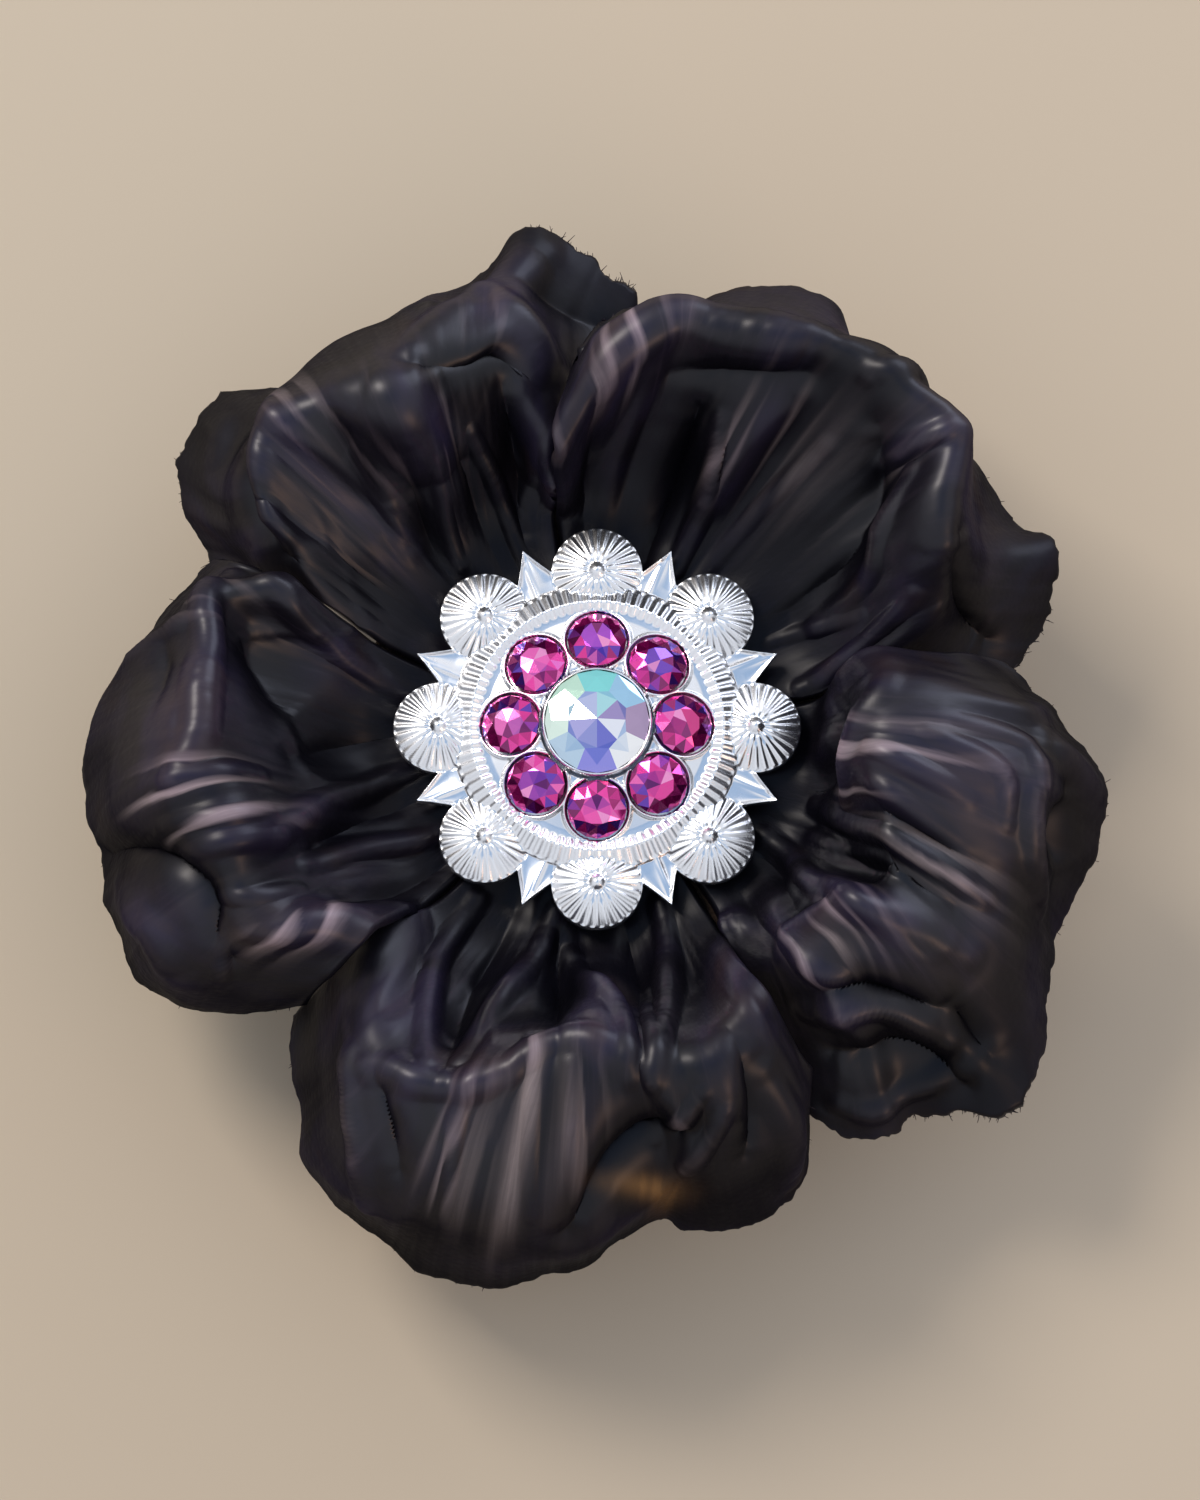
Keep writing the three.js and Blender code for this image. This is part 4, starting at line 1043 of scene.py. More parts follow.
def fray_rim(surface, x, seed):
    """Moves the last rows of a petal along the leather, so that the cut edge is a little ragged."""
    inward = unit(surface[-4] - surface[-1])
    ragged = 0
    for i, (depth, spacing) in enumerate((NICKS, SMALL_NICKS)):
        ragged = ragged + depth * soft_noise(x[-1] / spacing, x[-1] * 0, seed + i)
    frayed = surface.copy()
    for row in range(1, RAGGED_ROWS + 1):
        share = 1 - (row - 1) / RAGGED_ROWS
        frayed[-row] = frayed[-row] + inward * (ragged * share)[:, None]
    return frayed


def one_fibre(root, outward, chance):
    """Points and faces of one fibre, which starts inside the leather and curls as it goes."""
    lean = outward + chance.uniform(-0.6, 0.6, 3)
    curl = chance.uniform(-0.5, 0.5, 3)
    reach = chance.uniform(*FIBRE_REACH)
    steps = np.linspace(-0.3, 1, FIBRE_RINGS)[:, None]
    path = root + unit(lean) * reach * steps + curl * reach * np.clip(steps, 0, 1) ** 2
    return tube(path, FIBRE * np.linspace(1, 0.3, FIBRE_RINGS), FIBRE_SIDES)


def fringe(name, surface, seed):
    """Loose fibres along the frayed parts of a petal's rim, as one piece."""
    chance = np.random.default_rng(seed)
    rim = surface[-1]
    outward = unit(surface[-1] - surface[-5])
    points, faces, count = [], [], 0
    for first, last in FRAYED[name]:
        tufts = max(FEWEST_FIBRES, int((last - first) * FIBRES_PER_SHARE))
        for at in np.sort(chance.uniform(first, last, tufts)) / 100 * (COLUMNS - 1):
            column = int(at)
            root = rim[column] + (rim[min(column + 1, COLUMNS - 1)] - rim[column]) * (at - column)
            made, groups = one_fibre(root, outward[column], chance)
            points.append(made)
            faces += [group + count for group in groups]
            count += len(made)
    quads = np.concatenate([group for group in faces if group.shape[1] == 4])
    triangles = np.concatenate([group for group in faces if group.shape[1] == 3])
    points = np.concatenate(points)
    piece = make_piece("fibres_" + name, points, facing_out(points, [quads, triangles]), waxed_leather)
    add_values(piece, "flat", points * [1, 1, 0])
    for value_name, value in FIBRE_FINISH.items():
        add_values(piece, value_name, np.full(len(points), value))
    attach(piece, "flower")
    return piece


print("frayed parts:", {name: len(parts) for name, parts in FRAYED.items()})

# %% [markdown]
# ## Putting a petal together
#
# Now the parts above are joined in the order in which the real petal was made: the bare surface, the
# folds and small relief pressed into it, the ragged rim, the thickness, and last the finish. The flat
# size that the grain and lines are laid on follows from the formed surface: its mean length from root
# to rim, and the width of its widest row.

# %% Build the petals
def build_petal(name, seed):
    """One petal with its fibres, on the body of the flower. seed keeps its noise its own."""
    surface = petal_surface(PETALS[name], ROWS, COLUMNS)
    across, along = np.meshgrid(np.linspace(0, 1, COLUMNS), np.linspace(0, 1, ROWS))
    width = np.linalg.norm(np.diff(surface, axis=1), axis=-1).sum(1).max()
    length = np.linalg.norm(np.diff(surface, axis=0), axis=-1).sum(0).mean()
    x, y = across * width, along * length
    bend = WANDER[0] * noise(x, y, WANDER, seed)
    open_part = rise(along, 0.16, 0.2)
    relief = fold_relief(surface, FOLDS[name])
    relief += open_part * small_relief(x, y, bend, seed)
    relief = softened(relief)
    flutter = noise(x, y, RIM_WAVES, seed + 4) * rise(along, 0.8, 0.2) ** 2
    surface = surface + grid_normals(surface) * (relief + RIM_WAVES[0] * flutter)[..., None]
    surface = fray_rim(surface, x, seed + 5)
    points, faces = close_sheet(surface, LEATHER)
    piece = make_piece("leather_" + name, points, facing_out(points, faces), waxed_leather)
    ridge_wear_and_highlight = worn_and_highlit_ridges(relief) * open_part
    finish = finish_values(name, surface, (x, y), (across, along), relief, ridge_wear_and_highlight, bend, seed)
    for value_name, values in finish.items():
        add_values(piece, value_name, sheet_values(values))
    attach(piece, "flower")
    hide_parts(name)
    fringe(name, surface, seed + 8)


for i, name in enumerate(PETALS):
    build_petal(name, seed=10 * (i + 1))

# %% [markdown]
# ## The concho
#
# A concho is a cast button. This one is zinc alloy, plated with bright silver: eight berries round the
# edge, each one a dome of fine radiating beads, a pointed leaf in each gap, a milled ring, and seats for
# the stones. Such a casting has no undercuts, because it has to leave its mould. So every point of its
# front has just one height, and the whole relief can be one formula of the distance and the bearing
# from the middle. A round grid is then lifted to that height. That is quicker and cleaner than joining
# hundreds of small beads.
#
# The real strokes are under half a millimetre apart. They are drawn about 0.7 mm apart, so that they show.

# %% Sizes of the concho, in mm
BERRIES = 8
BERRY_RADIUS = 3.55
BERRY_EDGE = 1.15  # height of a berry at its edge, and then in its middle
BERRY_HEIGHT = 2.3
BERRY_STROKES = 28
STROKE_DEPTH = 0.075
FLUTE_DEPTH = 0.07
BUTTON_HEIGHT = 0.22
BUTTON_HOLLOW = 0.1  # depth of the groove round the button
PLATE = 1.4
LEAF_TIP = 15.2
LEAF_HALF = 2.3
LEAF_SINK = 0.1  # a leaf lies this far below the plate
LEAF_HOLLOW = 0.12
LEAF_LINE = 0.14  # height of a leaf's raised lines, and their half-width
LEAF_LINE_HALF = 0.2
MID_LINE = 0.35  # how far a leaf's long raised line is off its middle
SIDE_LINE = -1.45  # and its short one, which is lower
SIDE_LINE_HEIGHT = 0.12
SIDE_LINE_HALF = 0.16
ROPE = 0.8
ROPE_TOP = 2.15
ROPE_SLOPE = 1.5  # how wide the rope's outer side is
ROPE_STROKES = 84
ROPE_STROKE_DEPTH = 0.06
SHOULDER = 0.15  # the plate rises this much towards the rope
SHOULDER_WIDTH = 1.5
SEAT_FLOOR = 1.8  # lowest place between the stones and the rope
ACCENT_RADIUS = 2.3
ACCENT_RING = 6.7
ACCENT_TILT = math.radians(16)
ACCENT_RISE = 1.1
ACCENT_POCKET = 0.9  # how deep a pocket is below its stone's girdle
COLLAR_RISE = 0.12  # how far a collar stands above the girdle
COLLAR_OUT = 0.28  # from the stone's edge to the top of its collar
CENTRE_RADIUS = 4.08
CUP_WALL = 0.2
rope_radius = ACCENT_RING + ACCENT_RADIUS + 0.05 + ROPE
berry_ring = CONCHO_RADIUS - BERRY_RADIUS
leaf_root = berry_ring - 1
cup_radius = CENTRE_RADIUS + CUP_WALL
cup_floor = PLATE + 0.4
concho_back = ROOT_HEIGHT + LEATHER / 2 + PLEAT_HEIGHT + PRESSED
sector = 2 * np.pi / BERRIES
print("milled ring, berries' ring in mm:", round(rope_radius, 2), round(berry_ring, 2))


# %% Berries and leaves
def off_axis(angle, first):
    """The turn away from the nearest of eight axes, the first of which is at an angle."""
    return (angle - first + sector / 2) % sector - sector / 2


def seen_from_axis(reach, angle, first):
    """Places along and beside the nearest of the eight axes."""
    turn = off_axis(angle, first)
    return reach * np.cos(turn), reach * np.sin(turn)


def line_profile(distance, half_width):
    """1 along a raised line, falling off softly with the distance from it."""
    return np.exp(-((distance / half_width) ** 2))


def berry_relief(from_middle, way):
    """A dome with strokes round its edge, flutes inside them, and a button in a groove.

    from_middle is a share of the berry's radius, and way is the bearing round its middle.
    """
    dome = BERRY_EDGE + (BERRY_HEIGHT - BERRY_EDGE) * (1 - np.clip(from_middle, 0, 1) ** 1.6)
    strokes = rise(from_middle, 0.35, 0.15) * fall(from_middle, 1, 0.05)
    flutes = rise(from_middle, 0.14, 0.08) * fall(from_middle, 0.5, 0.2)
    dome += STROKE_DEPTH * strokes * np.cos(BERRY_STROKES * way)
    dome += FLUTE_DEPTH * flutes * np.cos(BERRY_STROKES / 2 * way)
    dome += BUTTON_HEIGHT * line_profile(from_middle, 0.12)
    return dome - BUTTON_HOLLOW * line_profile(from_middle - 0.2, 0.06)


def leaf_half_width(x):
    """Half a leaf's width at a distance from the concho's middle."""
    taper = fall(x, LEAF_TIP, LEAF_TIP - leaf_root)
    return LEAF_HALF * taper**1.1


def leaf_relief(x, y):
    """A pointed leaf between two berries: hollow sides, raised edges and two raised lines."""
    half = leaf_half_width(x)
    inside = np.clip(1 - np.abs(y) / np.maximum(half, 0.05), 0, 1)
    web = PLATE - LEAF_SINK - LEAF_HOLLOW * np.sin(np.pi * inside) * rise(x, 10.7, 1.5)
    web += LEAF_LINE * line_profile(y - MID_LINE, LEAF_LINE_HALF) * fall(x, LEAF_TIP, 1.2)
    web += LEAF_LINE * line_profile(half - np.abs(y), LEAF_LINE_HALF)
    return web + SIDE_LINE_HEIGHT * line_profile(y - SIDE_LINE, SIDE_LINE_HALF) * fall(x, 12.9, 0.5)


def concho_outline(angle):
    """How far the casting reaches at each bearing: the larger of a berry and a leaf."""
    turn = off_axis(angle, 0)
    reach_off = berry_ring * np.sin(turn)
    chord = np.sqrt(np.clip(BERRY_RADIUS**2 - reach_off**2, 0, None))
    berry = np.where(np.abs(reach_off) < BERRY_RADIUS, berry_ring * np.cos(turn) + chord, 0)
    along_leaf = np.linspace(leaf_root, LEAF_TIP, 200)
    leaf_turn = np.arctan2(leaf_half_width(along_leaf), along_leaf)
    leaf_reach = np.hypot(leaf_half_width(along_leaf), along_leaf)
    leaf = np.interp(np.abs(off_axis(angle, sector / 2)), leaf_turn[::-1], leaf_reach[::-1])
    return np.maximum(berry, leaf)


print("outline at a berry and at a leaf, mm:", concho_outline(np.array([0, sector / 2])).round(2))


# %% The milled ring and the stones' seats
def with_milled_ring(height, reach, angle):
    """Adds the milled ring, called the rope, and the sloping floor inside it."""
    shoulder = PLATE + SHOULDER * fall(reach, rope_radius + SHOULDER_WIDTH, SHOULDER_WIDTH)
    inwards, outwards = (rope_radius - reach) / ROPE, (reach - rope_radius) / ROPE_SLOPE
    across = np.clip(np.where(reach < rope_radius, inwards, outwards), 0, 1)
    strand = ROPE_STROKE_DEPTH * np.cos(ROPE_STROKES * angle) * fall(across, 1, 0.2)
    rope = shoulder + (ROPE_TOP - PLATE - SHOULDER) * (1 - across) + strand
    height = np.maximum(height, np.where(reach < rope_radius + SHOULDER_WIDTH, rope, 0))
    slope = PLATE + ACCENT_RISE - 0.15 - (reach - ACCENT_RING) * math.tan(ACCENT_TILT)
    seat_floor = np.clip(slope, SEAT_FLOOR, PLATE + 1.5)
    height = np.where(reach < rope_radius - ROPE, seat_floor, height)
    inner_side = SEAT_FLOOR + (ROPE_TOP - SEAT_FLOOR) * (1 - across) + strand
    return np.where((reach >= rope_radius - ROPE) & (reach < rope_radius), inner_side, height)


def with_seats(height, reach, angle):
    """Adds a thin collar and a pocket for each small stone, and the place of the centre cup."""
    x, y = seen_from_axis(reach, angle, 0)
    x = x - ACCENT_RING
    girdle = PLATE + ACCENT_RISE - x * math.tan(ACCENT_TILT)
    from_stone = np.hypot(x / math.cos(ACCENT_TILT), y)
    off_collar = (from_stone - ACCENT_RADIUS - COLLAR_OUT) / 0.2
    collar = girdle + COLLAR_RISE - 0.5 * off_collar**2
    height = np.where(from_stone < ACCENT_RADIUS + 0.6, np.maximum(height, collar), height)
    height = np.where(from_stone < ACCENT_RADIUS + 0.12, girdle - ACCENT_POCKET, height)
    return np.where(reach < cup_radius + 0.15, cup_floor - 0.05, height)


def concho_relief(reach, angle):
    """Height of the casting's front above its back, in mm."""
    berry_x, berry_y = seen_from_axis(reach, angle, 0)
    berry_x = berry_x - berry_ring
    from_middle = np.hypot(berry_x, berry_y) / BERRY_RADIUS
    berry = berry_relief(from_middle, np.arctan2(berry_y, berry_x))
    leaf = leaf_relief(*seen_from_axis(reach, angle, sector / 2))
    height = np.where(from_middle < 1, berry, leaf)
    return with_seats(with_milled_ring(height, reach, angle), reach, angle)


print("height in the middle of a berry, mm:", concho_relief(berry_ring, np.zeros(1)).round(2))

# %% [markdown]
# ## From rings to a body
#
# The concho, the cup and the two discs are all bodies of rings: each ring has a distance from the axis
# and a height, and both may be one number or one for each bearing. Blender's Screw modifier turns a
# profile, but its rings are always circles, and the concho's outer ones follow the berries.

# %% A body of rings
def ring_body(rings, columns):
    """Points and faces of a closed body through rings of (reach, height), capped at both ends."""
    bearings = np.linspace(0, 2 * np.pi, columns, endpoint=False)
    points = []
    for reach, height in rings:
        reach, height = reach + 0 * bearings, height + 0 * bearings
        points.append(np.stack([reach * np.cos(bearings), reach * np.sin(bearings), height], -1))
    ends = [points[0].mean(0, keepdims=True), points[-1].mean(0, keepdims=True)]
    return np.concatenate([*points, *ends]), ring_faces(len(rings), columns)


print("points in a body of 2 rings of 6:", len(ring_body([(1, 0), (1, 1)], 6)[0]))

# %% Build the concho
BEARINGS = BERRIES * 96
INNER_ROWS = 96
OUTER_ROWS = 48
FIRST_REACH = 0.4
ROUND_LIMIT = berry_ring - 1.4  # out to here the grid's rings are true circles
LAST_SHARE = 0.999  # the front stops just inside the outline, which the edge then follows
EDGE_LOW = 0.32  # the edge is straight down to here, and then rounds off to the back
EDGE_ROUND_OFF = (0.12, 0.2)
POST_RADIUS = 2.2

bearings = np.linspace(0, 2 * np.pi, BEARINGS, endpoint=False)
outline = concho_outline(bearings)
rings = []
for reach in np.linspace(FIRST_REACH, ROUND_LIMIT, INNER_ROWS):
    rings.append((reach, concho_relief(reach, bearings)))
for share in np.linspace(0, 1, OUTER_ROWS)[1:]:
    reach = ROUND_LIMIT + (outline - ROUND_LIMIT) * share * LAST_SHARE
    rings.append((reach, concho_relief(reach, bearings)))
edge_height = rings[-1][1]
front_rings = len(rings)
post_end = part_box("concho")[0].z / MM - concho_back
rings += [(outline, 0.6 * edge_height + 0.1), (outline, EDGE_LOW)]
rings += [(outline - EDGE_ROUND_OFF[0], EDGE_ROUND_OFF[1]), (berry_ring - 0.6, 0)]
rings += [(POST_RADIUS, 0), (POST_RADIUS, post_end)]
concho_points, concho_faces = ring_body(rings, BEARINGS)
concho_points[:, 2] += concho_back
print("concho:", len(concho_points), "points,", front_rings, "rings on its front")

# %% [markdown]
# ## Bright silver plate
#
# Polished silver plate has next to no colour of its own. It is a mirror, a little blurred by the casting
# under it, so the relief does the work. A value for each point says how deep it lies below its
# neighbours, and the material greys the colour the deeper that is.

# %% Material: silver plate
CLOUDS = 3  # mm, how wide the duller places in the polish are

silver_plate, silver_shader = principled("bright_silver_plate_on_cast_zinc", Metallic=1.0)
recess = add_node(silver_plate, "ShaderNodeAttribute", attribute_name="recess")
silver_place = add_node(silver_plate, "ShaderNodeTexCoord")
cloudy = add_node(
    silver_plate,
    "ShaderNodeTexNoise",
    {"Vector": silver_place.outputs["Object"], "Scale": 1 / (CLOUDS * MM), "Detail": 4.0},
)
silver_tone = add_node(
    silver_plate,
    "ShaderNodeValToRGB",
    {"Fac": recess.outputs["Fac"]},
    stops=[(0.0, colour("#fbfbfd")), (0.4, colour("#ececee")), (1.0, colour("#a39c9a"))],
)
connect(silver_plate, silver_tone.outputs["Color"], silver_shader.inputs["Base Color"])
silver_blur = add_node(
    silver_plate,
    "ShaderNodeMapRange",
    {"Value": cloudy.outputs["Fac"], "From Min": 0.3, "From Max": 0.7, "To Min": 0.2, "To Max": 0.3},
)
connect(silver_plate, silver_blur.outputs["Result"], silver_shader.inputs["Roughness"])
print("material:", silver_plate.name)


# %% Concho piece
RECESS_SPREAD = 3  # points to each side that a point is compared with
DEEPEST = 0.25  # mm, where the grey is at its full strength


def recess_values(heights, spread):
    """How far each point of a closed round grid lies below the mean of its neighbours, in mm."""
    mean = np.zeros_like(heights)
    for step in range(-spread, spread + 1):
        mean += np.roll(heights, step, axis=1) + np.roll(heights, step, axis=0)
    return np.clip(mean / (4 * spread + 2) - heights, 0, None)


front = np.stack([height + 0 * bearings for _, height in rings])
recesses = np.clip(recess_values(front, RECESS_SPREAD) / DEEPEST, 0, 1)
recesses[front_rings - 1 :] = 0
concho = make_piece("silver_concho", concho_points, facing_out(concho_points, concho_faces), silver_plate)
add_values(concho, "recess", np.append(recesses.ravel(), [0, 0]))
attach(concho, "flower")
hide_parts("concho")
print("deepest grey on the concho, as a share:", recesses.max().round(2))

# %% [markdown]
# ## The stones
#
# Each small stone is a chaton: clear coloured glass with a mirror foil on its back, and a thin
# iridescent coating that turns some facets violet. The foil sends the light back through the glass, so
# what the eye sees is a set of small bright and dark mirrors, tinted fuchsia. Real refraction through
# glass this small needs very many light samples and still comes out as noise. A metal-like shader on
# the facets under a clear coat gives the same mirrors, and it also survives an export.
#
# The facets seen through the table are modelled too: the middle of each stone is a shallow star.

# %% Materials: foiled glass
# tints of the facets, one for each of a stone's eight sectors or for the middle of each stone. They are
# partly the glass and its coating, partly painted reflections: facets painted lighter, darker or white
FUCHSIA_AND_PAINTED_LIGHT = ["#ff3fae", "#d01c88", "#8a1068", "#ef2c9c", "#9c2aa8", "#6a35b8", "#ff6cc0", "#b01474"]
FUCHSIA_MIDDLES_AND_PAINTED_LIGHT = ["#e0388c", "#7a44c4", "#b64cd2", "#ff66c2", "#ff74c8", "#a43ab4", "#ff58b8", "#f03ca2"]
AURORA_AND_PAINTED_REFLECTIONS = ["#a6d4f2", "#8ce8e6", "#d2f6de", "#ecfff0", "#c4dcee", "#9a96ea", "#ffffff", "#b49abe"]
AURORA_MIDDLE_AND_PAINTED_REFLECTIONS = ["#cfe0f6", "#b4e8ee", "#c4ccf0", "#f0fff4", "#b9b4ea", "#8f8ae0", "#f4f6ff", "#a796cc"]
# a painted glint and a painted shade on each small stone's star
STAR_PAINTED_GLINT = "#ff9cd8"  # the lightest and the darkest facet of each small stone's star
STAR_PAINTED_SHADE = "#8e1a72"
GLASS_IOR = 1.55


def foiled_glass(name):
    """Glass with a foil behind it: mirror facets whose tints are partly painted reflections."""
    material, shader = principled(name, Metallic=0.85, Roughness=0.06, Coat_Weight=1.0, Coat_Roughness=0.01)
    shader.inputs["Coat IOR"].default_value = GLASS_IOR
    tint = add_node(material, "ShaderNodeAttribute", attribute_name="facet_tint_and_painted_light")
    connect(material, tint.outputs["Color"], shader.inputs["Base Color"])
    return material


fuchsia_glass = foiled_glass("foiled_fuchsia_glass_with_iridescent_coating")
aurora_glass = foiled_glass("foiled_clear_glass_with_iridescent_coating")
print("materials:", fuchsia_glass.name, aurora_glass.name)

# %% [markdown]
# ## Cutting a stone
#
# A round stone is cut in rings of flat facets. Here each ring is eight or sixteen points, and the facets
# are faces between the rings. The faces stay flat-shaded: a smooth stone would look like a drop of
# jelly. The stone has one tint for each facet. The tints are partly the glass and its coating, which
# shows another colour on each, and partly painted reflections: facets painted lighter, darker or white.


# %% The shape of a stone
def ring_points(count, radius, height, turn=0.0):
    """A ring of points, turned by a share of the step between two of them."""
    angle = 2 * np.pi * (np.arange(count) + turn) / count
    return np.stack([radius * np.cos(angle), radius * np.sin(angle), np.full(count, height)], -1)


MIDDLE = 100  # added to the sector of a facet that belongs to the star


def cut_stone(radius, crown, pavilion, table, peak, dip):
    """Points and facets of a round stone: star, crown, girdle and back. Also each facet's sector.

    crown and pavilion are the heights above and below the girdle, and table is the star's share of the
    radius. The star's middle stands a peak above the crown, and its corners a dip below it.
    """
    rings = [
        ring_points(8, table * radius * 0.9, crown, 0.5),
        ring_points(8, table * radius, crown - dip),
        ring_points(8, 0.86 * radius, 0.5 * crown, 0.5),
        ring_points(16, radius, 0.1),
        ring_points(16, radius, -0.1),
        ring_points(8, 0.55 * radius, -pavilion, 0.5),
    ]
    points = np.concatenate([[[0, 0, crown + peak]], *rings])
    star, table_ring, crown_ring, girdle, under, back = 1, 9, 17, 25, 41, 57
    facets, sectors = [], []

    def add(i, *corner_numbers):
        facets.append(list(corner_numbers))
        sectors.append(i)

    for i in range(8):
        j = (i + 1) % 8
        h = (i - 1) % 8
        add(MIDDLE + i, 0, star + h, star + i)
        add(MIDDLE + i, star + h, table_ring + i, star + i)
        add(i + 3, star + i, table_ring + i, crown_ring + i, table_ring + j)
        add(i + 4, table_ring + i, crown_ring + h, girdle + 2 * i)
        add(i + 2, table_ring + i, girdle + 2 * i, crown_ring + i)
        add(i + 1, crown_ring + i, girdle + 2 * i, girdle + 2 * i + 1)
        add(i + 6, crown_ring + i, girdle + 2 * i + 1, girdle + (2 * i + 2) % 16)
        for k in (2 * i, 2 * i + 1):
            add(i, girdle + k, under + k, under + (k + 1) % 16, girdle + (k + 1) % 16)
        add(i, under + 2 * i, back + i, under + 2 * i + 1)
        add(i, under + 2 * i + 1, back + i, under + (2 * i + 2) % 16)
        add(i, back + i, back + j, under + (2 * i + 2) % 16)
    facets.append([back + i for i in range(8)][::-1])
    sectors.append(0)
    return points, facets, sectors


def set_stone(name, node, shape, place, tilt, turn, material, tints):
    """A stone in its seat. place is (distance from the axis, height), and tints has one for each facet."""
    points, facets, _ = shape
    lean = np.array([[math.cos(tilt), 0, math.sin(tilt)], [0, 1, 0], [-math.sin(tilt), 0, math.cos(tilt)]])
    spin = np.array([[math.cos(turn), -math.sin(turn), 0], [math.sin(turn), math.cos(turn), 0], [0, 0, 1]])
    points = (points @ lean.T + [place[0], 0, 0]) @ spin.T + [0, 0, place[1]]
    # a piece takes its faces sorted by their number of corners, and the tints follow that order
    groups = [[f for f in facets if len(f) == corners] for corners in (3, 4, 8)]
    order = [i for corners in (3, 4, 8) for i, f in enumerate(facets) if len(f) == corners]
    piece = make_piece(name, points, groups, material, smooth=False)
    made = piece.data.attributes.new("facet_tint_and_painted_light", "FLOAT_COLOR", "FACE")
    shades = [colour(tints[i]) for i in order]
    made.data.foreach_set("color", np.array(shades, np.float32).ravel())
    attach(piece, "flower")
    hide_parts(node)
    return piece


# %% Set the eight fuchsia stones
def deal_tints(i, sectors):
    """Small stone i's tints: its star with a painted glint and shade, and crown tints turned with i."""
    star = [FUCHSIA_MIDDLES_AND_PAINTED_LIGHT[i]] * 8
    star[(3 + i) % 8] = STAR_PAINTED_GLINT
    star[(6 + i) % 8] = STAR_PAINTED_SHADE
    tints = []
    for number in sectors:
        in_star = number >= MIDDLE
        tints.append(star[number - MIDDLE] if in_star else FUCHSIA_AND_PAINTED_LIGHT[(number + 3 * i) % 8])
    return tints


accent_shape = cut_stone(ACCENT_RADIUS, crown=0.85, pavilion=0.7, table=0.55, peak=0.14, dip=0.08)
girdle_height = concho_back + PLATE + ACCENT_RISE
for i in range(BERRIES):
    number = str(i + 1)
    set_stone(
        "fuchsia_stone_" + number,
        "accent_crystal_" + number,
        accent_shape,
        (ACCENT_RING, girdle_height),
        ACCENT_TILT,
        i * sector,
        fuchsia_glass,
        deal_tints(i, accent_shape[2]),
    )
print("small stones set:", BERRIES)

# %% Set the centre stone
CENTRE_DEPTH = 1.3  # from its girdle down to its back
CENTRE_STAND = 1.5  # from its girdle up to the point of its CAD stone
CENTRE_TURN = math.radians(22.5)

centre_shape = cut_stone(CENTRE_RADIUS, crown=0.72, pavilion=CENTRE_DEPTH, table=0.6, peak=0.6, dip=0.04)
centre_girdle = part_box("centre_crystal")[1].z / MM - CENTRE_STAND
# each wedge is tinted by its bearing: partly the coating's colour, partly painted reflection
wedges = []
for corner_numbers, sector_number in zip(centre_shape[1], centre_shape[2]):
    middle = centre_shape[0][corner_numbers].mean(0)
    wedge = int(math.atan2(middle[1], middle[0]) // sector) % 8
    wedges.append(AURORA_MIDDLE_AND_PAINTED_REFLECTIONS[wedge] if sector_number >= MIDDLE else AURORA_AND_PAINTED_REFLECTIONS[wedge])
set_stone(
    "clear_centre_stone",
    "centre_crystal",
    centre_shape,
    (0, centre_girdle),
    0,
    CENTRE_TURN,
    aurora_glass,
    wedges,
)
print("facets on the centre stone:", len(wedges))

# %% [markdown]
# ## The cup of the centre stone
#
# The large stone sits in a cup of its own, spun from thin sheet, whose rim is pressed over the stone's
# girdle. From the front only that rim shows, as a fine bright line. It is a turned profile.

# %% The cup round the centre stone
cup_low, cup_high = (corner.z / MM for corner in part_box("crystal_cup"))
inner_wall = CENTRE_RADIUS + 0.05  # the stone sits in here with a little play
# from the middle of its underside, up the outside, over the rolled rim and down to the stone's back
cup_profile = [(0.5, cup_low), (cup_radius - 0.15, cup_low), (cup_radius, cup_low + 0.15)]
cup_profile += [(cup_radius, cup_high - 0.25), (cup_radius - 0.03, cup_high - 0.05)]
cup_profile += [(cup_radius - 0.1, cup_high + 0.03), (cup_radius - 0.2, cup_high + 0.02)]
cup_profile += [(inner_wall, cup_high - 0.06), (inner_wall, centre_girdle - 0.2)]
cup_profile += [(0.5, centre_girdle - CENTRE_DEPTH - 0.15)]
cup_points, cup_faces = ring_body(cup_profile, 96)
cup = make_piece("stone_cup", cup_points, facing_out(cup_points, cup_faces), silver_plate)
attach(cup, "flower")
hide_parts("crystal_cup")
print("cup:", round(cup_high - cup_low, 2), "mm deep")

# %% [markdown]
# ## Felt, leather and glue side
#
# The back isn't meant to be seen, but it is what touches the hair. A disc of black wool felt is glued
# over the screw, and a leather disc above it carries the petals. Felt is pressed fibre with no threads:
# up close its surface is a tangle, and its cut edge is soft. The tangle is drawn about 0.6 mm wide,
# ten times a real wool fibre, so that it shows. The leather disc is turned flesh side down, which is
# matt and brown, with an edge that was cut with a punch.


# %% Materials: felt and raw leather
FIBRE_DEPTH = 0.3  # mm


def fibrous(name, dark, light, size, bump, roughness, **values):
    """A matt, fibrous surface: one tangled noise, size mm wide, gives both the tone and the relief."""
    material, shader = principled(name, Roughness=roughness, **values)
    place = add_node(material, "ShaderNodeTexCoord")
    fibres = add_node(
        material,
        "ShaderNodeTexNoise",
        {"Vector": place.outputs["Object"], "Scale": 1 / (size * MM), "Detail": 6.0, "Distortion": 1.5},
    )
    tone = add_node(
        material,
        "ShaderNodeValToRGB",
        {"Fac": fibres.outputs["Fac"]},
        stops=[(0.3, colour(dark)), (0.7, colour(light))],
    )
    raised = add_node(
        material,
        "ShaderNodeBump",
        {"Height": fibres.outputs["Fac"], "Strength": bump, "Distance": FIBRE_DEPTH * MM},
    )
    connect(material, tone.outputs["Color"], shader.inputs["Base Color"])
    connect(material, raised.outputs["Normal"], shader.inputs["Normal"])
    return material


